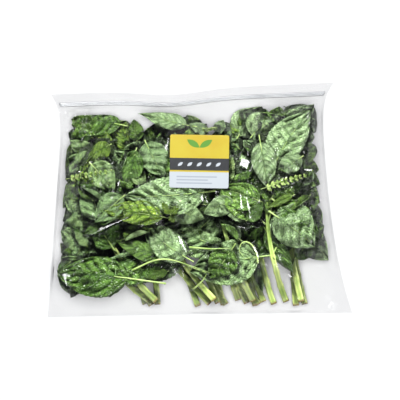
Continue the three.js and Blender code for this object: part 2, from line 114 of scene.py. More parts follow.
def noise(tree, vector, scale, detail=3.0, roughness=0.5):
    inputs = {"Vector": vector, "Scale": scale, "Detail": detail, "Roughness": roughness}
    return add_node(tree, "TexNoise", inputs).outputs[0]


def object_place(tree):
    return add_node(tree, "TexCoord").outputs["Object"]


print("node helpers ready")

# %% Floor
FLOOR_SIZE = 6
FLOOR_DROP = 0.0004


def deselect_all():
    bpy.ops.object.select_all(action="DESELECT")


def add_grid(columns, rows, size=1, place=(0, 0, 0)):
    deselect_all()
    bpy.ops.mesh.primitive_grid_add(x_subdivisions=columns, y_subdivisions=rows, size=size, location=place)
    return bpy.context.object


floor = add_grid(8, 8, FLOOR_SIZE, (0, 0, -FLOOR_DROP))
floor.name = "floor"
material, tree, shader = make_material("pale floor")
grain = noise(tree, object_place(tree), 6.0)
colour = mix_colours(tree, grain, (0.93, 0.93, 0.94, 1), (0.96, 0.96, 0.96, 1))
set_inputs(tree, shader, {"Base Color": colour, "Roughness": 0.7, "Specular IOR Level": 0.2})
floor.data.materials.append(material)
print("floor faces", len(floor.data.polygons))

# %% Soft boxes
LEFT_STRIP = (-1.3, 0.7, 1.6)
RIGHT_STRIP = (1.2, 0.5, 1.7)


def soft_box(name, place, size, power):
    light = bpy.data.lights.new(name, "AREA")
    light.shape = "RECTANGLE"
    light.size, light.size_y = size
    light.energy = power
    box = bpy.data.objects.new(name, light)
    box.location = place
    box.rotation_euler = (-Vector(place)).to_track_quat("-Z", "Y").to_euler()
    bpy.context.scene.collection.objects.link(box)
    return box


def light_link(boxes, pieces, state):
    linked = bpy.data.collections.new("linked to " + boxes[0].name)
    for piece in pieces:
        linked.objects.link(piece)
    for member in linked.collection_objects:
        member.light_linking.link_state = state
    for box in boxes:
        box.light_linking.receiver_collection = linked


key_box = soft_box("key box", (-0.4, 1.75, 1.5), (0.55, 0.55), 148)
side_box = soft_box("side box", (1.9, 0.3, 1.2), (0.6, 1.2), 24)
low_box = soft_box("low box", (0.3, -1.8, 1.5), (1.4, 0.5), 30)
floor_box = soft_box("floor box", (0, 0, 2.2), (2, 2), 65)
light_link([floor_box], [floor], "INCLUDE")
film_boxes = [
    soft_box("sheen box", (1.1, -1.0, 1.5), (0.7, 0.7), 3),
    soft_box("left strip", LEFT_STRIP, (0.2, 0.4), 11),
    soft_box("right strip", RIGHT_STRIP, (0.2, 0.4), 11),
    soft_box("low strip", (0.5, -1.3, 1.5), (0.5, 0.12), 3),
]

world = bpy.data.worlds.new("studio")
world.use_nodes = True
bpy.context.scene.world = world
tree = world.node_tree
sky = add_node(tree, "SeparateXYZ", {0: add_node(tree, "TexCoord").outputs["Generated"]})
overhead = ramp(tree, sky.outputs[2], 0.35, 0.95)
air = mix_colours(tree, overhead, (0.9, 0.93, 0.97, 1), (0.22, 0.24, 0.27, 1))
set_inputs(tree, tree.nodes["Background"], {"Color": air, "Strength": 0.19})

# %% [markdown]
# ## Where the leaves lie
# The solids were laid out by a rule: each sprig has a bowed stem, pairs of leaves along it and one leaf at
# its tip, and chance decides the rest with a fixed seed. The same rule, with the same seed, tells here
# which point of a solid is a leaf's midrib, edge or tip. Only the plan is repeated. The heights are read
# off the solids, so every fine leaf lies exactly where its solid does.

# %% The bag's plan and its room
BAG_CORNERS = ((-201, -155), (201, -149), (-197, 139), (177, 155))
PULL_LEFT, PULL_RIGHT, PULL_BOTTOM = 17, 20, 1
LIP_STIFFNESS, FOOT_STIFFNESS = 14, 4
MOUTH_DIP, MOUTH_DIP_AT, MOUTH_DIP_WIDTH, MOUTH_DIP_HOLD = 7, 0.43, 0.15, 4
ROOM_MARGIN, ROOM_BOTTOM, ROOM_TOP_LEFT, ROOM_TOP_RIGHT = 9, -137, 113, 129
SQUEEZE = 14


def lerp(low, high, share):
    return low + (high - low) * share


def bag_plan(s, t):
    low_left, low_right, high_left, high_right = BAG_CORNERS
    low = [lerp(low_left[k], low_right[k], s) for k in (0, 1)]
    high = [lerp(high_left[k], high_right[k], s) for k in (0, 1)]
    flat = [lerp(low[k], high[k], t) for k in (0, 1)]
    lip = 1 - t**LIP_STIFFNESS
    foot = 1 - (1 - t) ** FOOT_STIFFNESS
    x = flat[0] + lip * (PULL_LEFT * t * (1 - s) - PULL_RIGHT * foot * s)
    fold = 4 * s * (1 - s) * PULL_BOTTOM * (1 - t)
    dip = MOUTH_DIP * np.exp(-(((s - MOUTH_DIP_AT) / MOUTH_DIP_WIDTH) ** 2)) * t**MOUTH_DIP_HOLD
    return x, flat[1] + fold - dip


def room_side(y, s):
    low, high = BAG_CORNERS[s], BAG_CORNERS[s + 2]
    share_up = np.clip((y - low[1]) / (high[1] - low[1]), 0, 1)
    return bag_plan(s, share_up)[0]


def room_left(y):
    return room_side(y, 0) + ROOM_MARGIN


def room_right(y):
    return room_side(y, 1) - ROOM_MARGIN


def room_top(x):
    left, right = BAG_CORNERS[2][0], BAG_CORNERS[3][0]
    return lerp(ROOM_TOP_LEFT, ROOM_TOP_RIGHT, (x - left) / (right - left))


def squeeze(value, low, high):
    over = np.maximum(value - (high - SQUEEZE), 0)
    under = np.maximum(low + SQUEEZE - value, 0)
    eased_over = over - SQUEEZE * (1 - np.exp(-over / SQUEEZE))
    eased_under = under - SQUEEZE * (1 - np.exp(-under / SQUEEZE))
    return value - eased_over + eased_under


print("room across the middle", round(float(room_right(0) - room_left(0)), 1))

# %% One leaf's plan
STATIONS = (0.12, 0.38, 0.66, 0.87)
LEAF_PLACES = np.array((0, *STATIONS, 1))
STALK_HALF_WIDTH = 1.1
BLADE_FULLNESS, BLADE_SHOULDER, BLADE_TAPER = 2.813, 0.6, 0.95


@dataclass
class Leaf:
    x: float
    y: float
    heading: float
    stalk: float
    length: float
    width: float
    sweep: float
    inset: float = 0
    along: float = 0


def outline(u):
    return BLADE_FULLNESS * u**BLADE_SHOULDER * (1 - u) ** BLADE_TAPER


def leaf_plan(leaf, forward, side):
    u = np.maximum(0, (forward - leaf.stalk) / leaf.length)
    across = side + leaf.sweep * leaf.length * u * u
    x = leaf.x + math.cos(leaf.heading) * forward - math.sin(leaf.heading) * across
    y = leaf.y + math.sin(leaf.heading) * forward + math.cos(leaf.heading) * across
    return (
        squeeze(x, room_left(y) + leaf.inset, room_right(y) - leaf.inset),
        squeeze(y, ROOM_BOTTOM, room_top(x) - leaf.inset),
    )


print("widest share of a blade", round(max(outline(u / 100) for u in range(101)), 3))

# %% One stem's plan
CUT_RADIUS, TIP_RADIUS = 3.6, 1.5
STEM_STEPS = 6
HEADING_STEP = 0.0001
PAIRS = 3
LOWEST_PAIR, HIGHEST_PAIR, PAIR_CROWDING = 0.44, 0.92, 0.8

SPRIGS = (
    (-66, -135, -158, 60, 10),
    (-56, -133, -88, 60, -10),
    (-4, -136, -50, 76, 16),
    (30, -134, 10, 74, 18),
    (72, -135, 64, 76, 22),
    (126, -135, 124, 74, 10),
    (-70, -129, -150, -28, 20),
    (60, -132, 22, 44, 20),
    (10, -133, -118, 48, 18),
    (96, -133, 78, 50, 24),
    (132, -129, 112, 58, 14),
    (22, -131, -24, 50, 14),
    (-60, -129, -140, 4, 20),
    (16, -127, -76, 12, 14),
    (68, -129, 22, 6, 12),
    (112, -130, 86, 6, 14),
)


def stem_point(row, along):
    cut_x, cut_y, tip_x, tip_y, bow = row
    length = math.hypot(tip_x - cut_x, tip_y - cut_y)
    bend_x = (cut_x + tip_x) / 2 - bow * (tip_y - cut_y) / length
    bend_y = (cut_y + tip_y) / 2 + bow * (tip_x - cut_x) / length
    shares = ((1 - along) ** 2, 2 * along * (1 - along), along**2)
    x = shares[0] * cut_x + shares[1] * bend_x + shares[2] * tip_x
    y = shares[0] * cut_y + shares[1] * bend_y + shares[2] * tip_y
    return x, y


def stem_heading(row, along):
    behind = stem_point(row, along - HEADING_STEP)
    ahead = stem_point(row, along + HEADING_STEP)
    return math.atan2(ahead[1] - behind[1], ahead[0] - behind[0])


def pair_place(pair):
    return lerp(LOWEST_PAIR, HIGHEST_PAIR, (pair / (PAIRS - 1)) ** PAIR_CROWDING)


print("stems", len(SPRIGS), "with pairs at", [round(pair_place(pair), 2) for pair in range(PAIRS)])

# %% The leaves of a sprig
SEED = 20
DRAW_FACTOR, DRAW_STEP, DRAW_RANGE = 1664525, 1013904223, 4294967296
NARROWING = 22
INWARD_STEP, INWARD_TRIES = math.radians(8), 12
LONGEST_LEAF, SHORTEST_LEAF, TIP_LEAF = 88, 60, 48
LEAST_SIZE, SIZE_RANGE = 0.85, 0.3
LEAST_WIDTH, WIDTH_RANGE = 0.56, 0.12
SIDE_TURN, CROSSED_TURN, TURN_RANGE = 72, 28, 60
SWEEP_DRAWS, SWEEP_RANGE = 6, 0.3
SPRIG_STALK = 0.2
TIP_PLACE = 0.985


def seeded_draws(seed):
    state = seed
    while True:
        state = (state * DRAW_FACTOR + DRAW_STEP) % DRAW_RANGE
        yield state / DRAW_RANGE


def turned_inward(x, y, heading, reach, inset):
    for _ in range(INWARD_TRIES):
        tip_x = x + math.cos(heading) * reach
        tip_y = y + math.sin(heading) * reach
        fits_across = room_left(tip_y) + inset < tip_x < room_right(tip_y) - inset
        if fits_across and ROOM_BOTTOM < tip_y < room_top(tip_x) - inset:
            break
        inward = math.atan2(-y, -x) - heading
        heading += -INWARD_STEP if math.sin(inward) < 0 else INWARD_STEP
    return heading


def drawn_sweep(draw):
    drawn = [next(draw) for _ in range(SWEEP_DRAWS)]
    return SWEEP_RANGE * (drawn[-1] - 0.5)


def plan_sprig(row, number):
    draw = seeded_draws(SEED + number)
    inset = NARROWING * number / (len(SPRIGS) - 1)
    leaves = []

    def grow(along, turn, size):
        x, y = stem_point(row, along)
        blade = size * (LEAST_SIZE + SIZE_RANGE * next(draw))
        width = blade * (LEAST_WIDTH + WIDTH_RANGE * next(draw))
        outward = stem_heading(row, along) + math.radians(turn + TURN_RANGE * (next(draw) - 0.5))
        heading = turned_inward(x, y, outward, (1 + SPRIG_STALK) * blade, inset)
        sweep = drawn_sweep(draw)
        leaves.append(Leaf(x, y, heading, SPRIG_STALK * blade, blade, width, sweep, inset, along))

    for pair in range(PAIRS):
        turn = CROSSED_TURN if pair % 2 else SIDE_TURN
        size = lerp(LONGEST_LEAF, SHORTEST_LEAF, pair / (PAIRS - 1))
        for side in (-1, 1):
            grow(pair_place(pair), side * turn, size)
    grow(TIP_PLACE, 0, TIP_LEAF)
    return leaves


sprig_plans = [plan_sprig(row, number) for number, row in enumerate(SPRIGS)]
print("leaves on sprigs", sum(len(plan) for plan in sprig_plans))

# %% The plucked leaves
PLUCKED_SEED = 100 * SEED
PLUCKED_LEAVES = (
    (-4, 95, 169, 14, 66, 26),
    (-44, -108, 172, 50, 94, 54),
    (8, -94, 160, 52, 72, 24),
    (20, 12, 187, 14, 104, 50),
    (92, 38, 64, 12, 80, 48),
    (-95, 97, 168, 10, 68, 36),
    (76, 84, -81, 10, 60, 32),
    (46, -56, -123, 10, 46, 38),
    (-8, -80, 150, 12, 72, 40),
    (-36, -24, 169, 12, 76, 32),
    (92, 2, -40, 12, 68, 46),
    (88, -14, -34, 10, 66, 56),
)


def plan_plucked(row, number):
    x, y, heading, stalk, length, width = row
    sweep = drawn_sweep(seeded_draws(PLUCKED_SEED + number))
    return Leaf(x, y, math.radians(heading), stalk, length, width, sweep)


plucked_plans = [plan_plucked(row, number) for number, row in enumerate(PLUCKED_LEAVES)]
print("plucked leaves", len(plucked_plans))

# %% [markdown]
# ## Reading the heights
# A solid blade has an upper and a lower corner over each point of the plan. Halfway between them is the
# leaf's own surface. A corner that vanished where two solids were joined is filled in from its neighbours.

# %% Heights from the solids
MATCH = 0.06


def get_points(piece):
    flat = np.empty(len(piece.data.vertices) * 3, np.float32)
    piece.data.vertices.foreach_get("co", flat)
    return flat.reshape(-1, 3).astype(float)


def middle_height(corners, x, y):
    near = corners[np.hypot(corners[:, 0] - x, corners[:, 1] - y) < MATCH]
    return (near[:, 2].max() + near[:, 2].min()) / 2 if len(near) else math.nan


def filled(places, heights):
    known = ~np.isnan(heights)
    return np.interp(places, places[known], heights[known])


def leaf_heights(leaf, corners, root_height):
    def height_at(forward, side):
        return middle_height(corners, *leaf_plan(leaf, forward, side))

    rows = [[height_at(leaf.stalk, STALK_HALF_WIDTH)] * 3]
    for u in STATIONS:
        half = leaf.width / 2 * outline(u)
        rows.append([height_at(leaf.stalk + u * leaf.length, v * half) for v in (1, 0, -1)])
    rows.append([height_at(leaf.stalk + leaf.length, 0)] * 3)
    table = np.array(rows)
    missing = int(np.isnan(table).sum())
    if root_height is None:
        root_height = height_at(0, STALK_HALF_WIDTH)
    if np.isnan(table[0, 0]):
        table[0] = root_height
    return root_height, np.stack([filled(LEAF_PLACES, column) for column in table.T], axis=1), missing


def stem_heights(row, corners):
    steps = [stem_point(row, step / STEM_STEPS) for step in range(STEM_STEPS + 1)]
    heights = []
    for step, (x, y) in enumerate(steps):
        before = steps[max(step - 1, 0)]
        after = steps[min(step + 1, STEM_STEPS)]
        run = math.hypot(after[0] - before[0], after[1] - before[1])
        side = ((before[1] - after[1]) / run, (after[0] - before[0]) / run)
        radius = lerp(CUT_RADIUS, TIP_RADIUS, step / STEM_STEPS)
        edges = [(x + s * side[0] * radius, y + s * side[1] * radius) for s in (-1, 1)]
        found = [middle_height(corners, *edge) for edge in edges]
        known = [height for height in found if not math.isnan(height)]
        heights.append(known[0] if known else math.nan)
    return filled(np.linspace(0, 1, STEM_STEPS + 1), np.array(heights))


sprig_heights = []
lost = 0
for number, plan in enumerate(sprig_plans):
    corners = get_points(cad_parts[f"basil_sprig_{number + 1:02d}"]) / MM
    stem = stem_heights(SPRIGS[number], corners)
    roots = np.interp([leaf.along for leaf in plan], np.linspace(0, 1, STEM_STEPS + 1), stem)
    tables = [leaf_heights(leaf, corners, root) for leaf, root in zip(plan, roots)]
    lost += sum(table[2] for table in tables)
    sprig_heights.append((stem, tables))
plucked_heights = []
for number, leaf in enumerate(plucked_plans):
    corners = get_points(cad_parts[f"plucked_leaf_{number + 1:02d}"]) / MM
    plucked_heights.append(leaf_heights(leaf, corners, None))
    lost += plucked_heights[-1][2]
print("leaf corners filled in from neighbours", lost)

# %% [markdown]
# ## One blade, one rib and one stem
# A basil blade is a broad oval with a drawn-out tip, and its skin bulges up between the side veins. One
# flat grid is shaped row by row into that outline, so its length and width can later be laid on any leaf.
# The stalk and midrib are one tapered rod. The stem is a rod with four soft edges, grooves between them, a
# swelling where leaves leave it, and a cut end. Each is modelled once, and every leaf and sprig takes
# copies.

# %% Helpers for modelling
def select_only(*objects):
    deselect_all()
    for one in objects:
        one.select_set(True)
    bpy.context.view_layer.objects.active = objects[0]


def choose_points(piece, test):
    bm = bmesh.from_edit_mesh(piece.data)
    for vert in bm.verts:
        vert.select_set(test(vert.co))
    bm.select_flush_mode()
    bmesh.update_edit_mesh(piece.data)


def choose_edges(piece, test):
    bm = bmesh.from_edit_mesh(piece.data)
    bpy.ops.mesh.select_all(action="DESELECT")
    for edge in bm.edges:
        edge.select_set(test(edge.verts[0].co, edge.verts[1].co))
    bmesh.update_edit_mesh(piece.data)


def choose_faces(piece, test):
    bm = bmesh.from_edit_mesh(piece.data)
    bpy.ops.mesh.select_all(action="DESELECT")
    for face in bm.faces:
        face.select_set(test(face.calc_center_median(), face.normal))
    bmesh.update_edit_mesh(piece.data)


def edit(piece):
    select_only(piece)
    bpy.ops.object.mode_set(mode="EDIT")


def leave_edit():
    bpy.ops.object.mode_set(mode="OBJECT")


def apply_modifier(piece, kind, **settings):
    select_only(piece)
    modifier = piece.modifiers.new(kind.lower(), kind)
    for name, value in settings.items():
        setattr(modifier, name, value)
    bpy.ops.object.modifier_apply(modifier=modifier.name)


def set_points(piece, points):
    piece.data.vertices.foreach_set("co", np.ascontiguousarray(points, np.float32).ravel())
    piece.data.update()


def set_attribute(piece, name, values):
    layer = piece.data.attributes.new(name, "FLOAT", "POINT")
    layer.data.foreach_set("value", np.ascontiguousarray(values, np.float32))


def get_attribute(piece, name):
    values = np.empty(len(piece.data.vertices), np.float32)
    piece.data.attributes[name].data.foreach_get("value", values)
    return values.astype(float)


print("modelling helpers ready")

# %% The blade
BLADE_ROWS = 46
BLADE_COLUMNS = 22
VEIN_PAIRS = 7.0
VEIN_RAKE = 0.3
VEIN_CURVE = 1.25
NECK_SHARE = 0.06
NARROWEST = 0.012
SAME_PLACE = 0.001


def make_blade(name, rows, columns):
    blade = add_grid(rows, columns, 2)
    blade.name = name
    edit(blade)
    bpy.ops.mesh.select_all(action="SELECT")
    bpy.ops.transform.resize(value=(0.5, 1, 1))
    bpy.ops.transform.translate(value=(0.5, 0, 0))
    leave_edit()
    set_attribute(blade, "across", get_points(blade)[:, 1])
    edit(blade)
    for row in range(rows + 1):
        u = row / rows
        share = max(outline(u), NECK_SHARE * (1 - u), NARROWEST)
        choose_points(blade, lambda co: abs(co.x - u) < SAME_PLACE)
        bpy.ops.transform.resize(value=(1, share, 1), center_override=(u, 0, 0))
    leave_edit()
    return blade


blade_master = make_blade("blade_master", BLADE_ROWS, BLADE_COLUMNS)
mid_master = make_blade("mid_master", rows=32, columns=16)
small_master = make_blade("small_master", rows=20, columns=10)
bract_master = make_blade("bract_master", rows=5, columns=4)
print("blade points", len(blade_master.data.vertices))

# %% The stalk and midrib
RIB_SIDES, RIB_STEPS = 7, 26
RIB_REACH = 0.93
STALK_FLARE = 1.3
RIB_END, RIB_TAPER = 0.16, 0.8

deselect_all()
bpy.ops.mesh.primitive_cylinder_add(vertices=RIB_SIDES, radius=1, depth=2, end_fill_type="TRIFAN")
rib_master = bpy.context.object
rib_master.name = "rib_master"
edit(rib_master)
bpy.ops.mesh.select_all(action="SELECT")
bpy.ops.transform.rotate(value=math.pi / 2, orient_axis="Y", center_override=(0, 0, 0))
choose_edges(rib_master, lambda a, b: abs(a.x - b.x) > 1)
bpy.ops.mesh.subdivide(number_cuts=RIB_STEPS - 1)
for step in range(RIB_STEPS + 1):
    x = 2 * step / RIB_STEPS - 1
    taper = lerp(1, STALK_FLARE, -x**3) if x < 0 else lerp(1, RIB_END, x**RIB_TAPER)
    choose_points(rib_master, lambda co: abs(co.x - x) < SAME_PLACE)
    bpy.ops.transform.resize(value=(1, taper, taper), center_override=(x, 0, 0))
leave_edit()
print("rib points", len(rib_master.data.vertices))

# %% The stem
STEM_RINGS, STEM_SIDES = 48, 16
SWELLING, SWELLING_REACH = 0.22, 0.018
BARE_JOINTS = (0.16, 0.3)
EDGE_GROWTH, GROOVE_SHRINKAGE = 1.1, 0.88
RIND, PITH, PITH_DEPTH = 0.22, 0.3, 0.002
CUT_REACH = 0.03


def on_edge(co):
    return abs(math.sin(2 * math.atan2(co.y, co.x))) > 0.99 and co.xy.length > 0.5


def in_groove(co):
    return abs(math.cos(2 * math.atan2(co.y, co.x))) > 0.99 and co.xy.length > 0.5


deselect_all()
bpy.ops.mesh.primitive_cylinder_add(
    vertices=STEM_SIDES, radius=1, depth=1, location=(0, 0, 0.5), end_fill_type="NGON"
)
stem_master = bpy.context.object
stem_master.name = "stem_master"
bpy.ops.object.transform_apply(location=True, rotation=True, scale=True)
edit(stem_master)
choose_edges(stem_master, lambda a, b: abs(a.z - b.z) > 0.9)
bpy.ops.mesh.subdivide(number_cuts=STEM_RINGS - 1)
joints = [pair_place(pair) for pair in range(PAIRS)] + list(BARE_JOINTS)
for ring in range(STEM_RINGS + 1):
    z = ring / STEM_RINGS
    swell = 1 + SWELLING * sum(math.exp(-(((z - joint) / SWELLING_REACH) ** 2)) for joint in joints)
    choose_points(stem_master, lambda co: abs(co.z - z) < SAME_PLACE)
    bpy.ops.transform.resize(value=(swell, swell, 1), center_override=(0, 0, z))
choose_points(stem_master, on_edge)
bpy.ops.transform.resize(value=(EDGE_GROWTH, EDGE_GROWTH, 1), center_override=(0, 0, 0.5))
choose_points(stem_master, in_groove)
bpy.ops.transform.resize(value=(GROOVE_SHRINKAGE, GROOVE_SHRINKAGE, 1), center_override=(0, 0, 0.5))
choose_faces(stem_master, lambda centre, normal: centre.z < SAME_PLACE and normal.z < -0.9)
bpy.ops.mesh.inset(thickness=RIND, depth=0)
bpy.ops.mesh.inset(thickness=PITH, depth=PITH_DEPTH)
leave_edit()
rod = get_points(stem_master)
set_attribute(stem_master, "cut", np.clip(1 - rod[:, 2] / CUT_REACH, 0, 1))
set_attribute(stem_master, "groove", np.abs(np.cos(2 * np.arctan2(rod[:, 1], rod[:, 0]))))
set_attribute(stem_master, "along", rod[:, 2])
print("stem points", len(stem_master.data.vertices))

# %% [markdown]
# ## Leaf and stem finishes
# The upper face of a basil leaf is a satin green whose veins lie in hollows. The lower face is greyer and
# much paler, and its veins stand out. Both read the same vein pattern, which follows the blade's own UV map,
# so a vein in the colour lies on the vein in the shape. On both faces the veins and the hollows between the
# puckers
# are painted dark: painted shade. Each leaf carries a tone and a youth, so no two match; the tone also holds
# painted shade towards the bag's left and painted light on the side leaves. Stems are paler and fibrous,
# browned at the cut, and painted dark in their grooves: painted shade.

# %% Shared vein pattern
def new_group(name, inputs, outputs):
    group = bpy.data.node_groups.new(name, "ShaderNodeTree")
    for socket, value in inputs.items():
        made = group.interface.new_socket(socket, in_out="INPUT", socket_type="NodeSocketFloat")
        made.default_value = value
    for socket in outputs:
        group.interface.new_socket(socket, in_out="OUTPUT", socket_type="NodeSocketFloat")
    return group, group.nodes.new("NodeGroupInput"), group.nodes.new("NodeGroupOutput")


def place_group(tree, group, inputs):
    made = tree.nodes.new("ShaderNodeGroup")
    made.node_tree = group
    set_inputs(tree, made, inputs)
    return made


SIDE_VEIN_WIDTH, SIDE_VEIN_THINNING, SIDE_VEIN_SHARE = 0.13, 0.65, 0.8
MIDRIB_WIDTH, MIDRIB_THINNING = 0.075, 0.05
NET_SCALE, NET_STRETCH, NET_FINENESS, NET_HEIGHT = 15.0, 1.7, 4.0, 1.3

veins, veins_in, veins_out = new_group(
    "leaf veins",
    {"Side vein width": SIDE_VEIN_WIDTH, "Net scale": NET_SCALE},
    ("Vein", "Net", "Height"),
)
uv = add_node(veins, "SeparateXYZ", {0: add_node(veins, "UVMap").outputs[0]})
along, sideways = uv.outputs[0], uv.outputs[1]
v = compute(veins, "ABSOLUTE", compute(veins, "MULTIPLY_ADD", sideways, 2.0, -1.0))
raked = compute(veins, "MULTIPLY", compute(veins, "POWER", v, VEIN_CURVE), VEIN_RAKE)
phase = compute(veins, "MULTIPLY", compute(veins, "SUBTRACT", along, raked), VEIN_PAIRS)
off_vein = compute(veins, "PINGPONG", phase, 0.5)
thin_out = compute(veins, "MULTIPLY_ADD", v, -SIDE_VEIN_THINNING, 1.0)
side_width = compute(veins, "MULTIPLY", veins_in.outputs["Side vein width"], thin_out)
side_vein = compute(veins, "SUBTRACT", 1.0, compute(veins, "DIVIDE", off_vein, side_width), clamp=True)
mid_width = compute(veins, "MULTIPLY_ADD", along, -MIDRIB_THINNING, MIDRIB_WIDTH)
midrib = compute(veins, "SUBTRACT", 1.0, compute(veins, "DIVIDE", v, mid_width), clamp=True)
vein = compute(veins, "MAXIMUM", compute(veins, "MULTIPLY", side_vein, SIDE_VEIN_SHARE), midrib)
stretched_along = compute(veins, "MULTIPLY", along, NET_STRETCH)
stretched = add_node(veins, "CombineXYZ", {0: stretched_along, 1: sideways, 2: 0.0})
cells = add_node(
    veins,
    "TexVoronoi",
    {"Vector": stretched.outputs[0], "Scale": veins_in.outputs["Net scale"]},
    feature="DISTANCE_TO_EDGE",
)
off_net = compute(veins, "MULTIPLY", cells.outputs["Distance"], NET_FINENESS)
net = compute(veins, "SUBTRACT", 1.0, off_net, clamp=True)
height = compute(veins, "MULTIPLY_ADD", net, NET_HEIGHT, vein)
set_inputs(veins, veins_out, {"Vein": vein, "Net": net, "Height": height})
print("vein pattern made")

# %% Leaf faces
def read_attribute(tree, name):
    return add_node(tree, "Attribute", attribute_name=name).outputs["Fac"]


def bump(tree, height, strength, distance):
    inputs = {"Height": height, "Strength": strength, "Distance": distance}
    return add_node(tree, "Bump", inputs).outputs[0]


# Colour of the painted shade deep in the pile, which darkens leaves, stalks and stems.
PAINTED_SHADE_GREEN = (0.007, 0.018, 0.003, 1)
MOTTLE_SHARE, TONE_SHARE = 0.45, 0.6
HOLLOW_SHADE_SHARE, NET_SHARE, PAINTED_SHADE_SHARE = 0.78, 0.75, 0.93


def leaf_face(name, dark, light, young, vein_shade_colour, vein_share, gloss, relief):
    material, tree, shader = make_material(name)
    pattern = place_group(tree, veins, {"Side vein width": SIDE_VEIN_WIDTH, "Net scale": NET_SCALE})
    place = object_place(tree)
    mottle = ramp(tree, noise(tree, place, 70.0, 4.0, 0.6), 0.3, 0.72)
    own_tone = compute(tree, "MULTIPLY", read_attribute(tree, "tone"), TONE_SHARE)
    tone = compute(tree, "MULTIPLY_ADD", mottle, MOTTLE_SHARE, own_tone)
    skin = mix_colours(tree, tone, dark, light)
    skin = mix_colours(tree, read_attribute(tree, "youth"), skin, young)
    # Hollows between the puckers are darkened towards the vein shade colour: painted shade.
    hollow_shade = compute(tree, "SUBTRACT", 1.0, read_attribute(tree, "crest"))
    skin = mix_colours(tree, compute(tree, "MULTIPLY", hollow_shade, HOLLOW_SHADE_SHARE), skin, vein_shade_colour)
    net = compute(tree, "MULTIPLY", pattern.outputs["Net"], NET_SHARE)
    skin = mix_colours(tree, net, skin, dark)
    # Veins are darkened along their lines: painted shade of the hollows they lie in.
    vein = compute(tree, "MULTIPLY", pattern.outputs["Vein"], vein_share)
    skin = mix_colours(tree, vein, skin, vein_shade_colour)
    # Points that lie deep in the pile are darkened: painted shade.
    painted_shade = compute(tree, "MULTIPLY", read_attribute(tree, "depth"), PAINTED_SHADE_SHARE)
    finish = {
        "Base Color": mix_colours(tree, painted_shade, skin, PAINTED_SHADE_GREEN),
        "Roughness": ramp(tree, noise(tree, place, 240.0, 2.0), 0.3, 0.7, gloss - 0.07, gloss + 0.1),
        "Specular IOR Level": 0.6,
        "Normal": bump(tree, pattern.outputs["Height"], 1.0, relief),
    }
    set_inputs(tree, shader, finish)
    return material


upper_face = leaf_face(
    "basil upper face",
    dark=(0.085, 0.19, 0.03, 1),
    light=(0.46, 0.8, 0.17, 1),
    young=(0.46, 0.68, 0.07, 1),
    vein_shade_colour=(0.012, 0.04, 0.008, 1),
    vein_share=0.6,
    gloss=0.34,
    relief=-0.0014,
)
lower_face = leaf_face(
    "basil lower face",
    dark=(0.28, 0.46, 0.17, 1),
    light=(0.71, 0.93, 0.56, 1),
    young=(0.56, 0.74, 0.2, 1),
    vein_shade_colour=(0.05, 0.11, 0.03, 1),
    vein_share=0.6,
    gloss=0.46,
    relief=0.0014,
)
print("leaf faces made")

# %% Stem, stalk and bud finishes
STEM_PAINTED_SHADE_SHARE = 0.65

stem_skin, tree, shader = make_material("basil stem")
place = object_place(tree)
lengthwise = add_node(tree, "Mapping", {"Vector": place, "Scale": (420, 60, 420)}).outputs[0]
fibres = noise(tree, lengthwise, 1.0, 3.0)
mottle = ramp(tree, noise(tree, place, 45.0, 4.0), 0.3, 0.7)
skin = mix_colours(tree, mottle, (0.36, 0.52, 0.1, 1), (0.68, 0.78, 0.26, 1))
skin = mix_colours(tree, ramp(tree, fibres, 0.45, 0.75, 0.0, 0.5), skin, (0.78, 0.84, 0.44, 1))
# Grooves are darkened: painted shade.
groove = ramp(tree, read_attribute(tree, "groove"), 0.45, 1.0, 0.0, 0.6)
skin = mix_colours(tree, groove, skin, (0.19, 0.33, 0.05, 1))
toward_tip = ramp(tree, read_attribute(tree, "along"), 0.3, 0.8, 0.0, 0.6)
skin = mix_colours(tree, toward_tip, skin, (0.21, 0.37, 0.07, 1))
cut_edge = ramp(tree, read_attribute(tree, "cut"), 0.2, 1.0)
blotches = ramp(tree, noise(tree, place, 300.0), 0.35, 0.6, 0.6, 1.0)
skin = mix_colours(tree, compute(tree, "MULTIPLY", cut_edge, blotches), skin, (0.24, 0.1, 0.03, 1))
# Points that lie deep in the pile are darkened: painted shade.
painted_shade = compute(tree, "MULTIPLY", read_attribute(tree, "depth"), STEM_PAINTED_SHADE_SHARE)
skin = mix_colours(tree, painted_shade, skin, PAINTED_SHADE_GREEN)
set_inputs(tree, shader, {"Base Color": skin, "Roughness": 0.42, "Normal": bump(tree, fibres, 0.4, 0.0004)})

stalk_skin, tree, shader = make_material("basil stalk")
place = object_place(tree)
mottle = ramp(tree, noise(tree, place, 90.0, 3.0), 0.3, 0.7)
skin = mix_colours(tree, mottle, (0.28, 0.43, 0.1, 1), (0.48, 0.62, 0.22, 1))
# Points that lie deep in the pile are darkened: painted shade.
painted_shade = compute(tree, "MULTIPLY", read_attribute(tree, "depth"), PAINTED_SHADE_SHARE)
skin = mix_colours(tree, painted_shade, skin, PAINTED_SHADE_GREEN)
skin_bump = bump(tree, noise(tree, place, 500.0), 0.3, 0.0003)
set_inputs(tree, shader, {"Base Color": skin, "Roughness": 0.45, "Normal": skin_bump})

bud_skin, tree, shader = make_material("basil buds")
place = object_place(tree)
mottle = ramp(tree, noise(tree, place, 260.0, 3.0), 0.35, 0.65)
skin = mix_colours(tree, mottle, (0.17, 0.3, 0.05, 1), (0.46, 0.58, 0.2, 1))
specks = ramp(tree, noise(tree, place, 520.0, 2.0), 0.62, 0.7)
skin = mix_colours(tree, specks, skin, (0.22, 0.1, 0.12, 1))
set_inputs(tree, shader, {"Base Color": skin, "Roughness": 0.55, "Normal": bump(tree, mottle, 0.3, 0.0003)})
print("stem, stalk and bud finishes made")

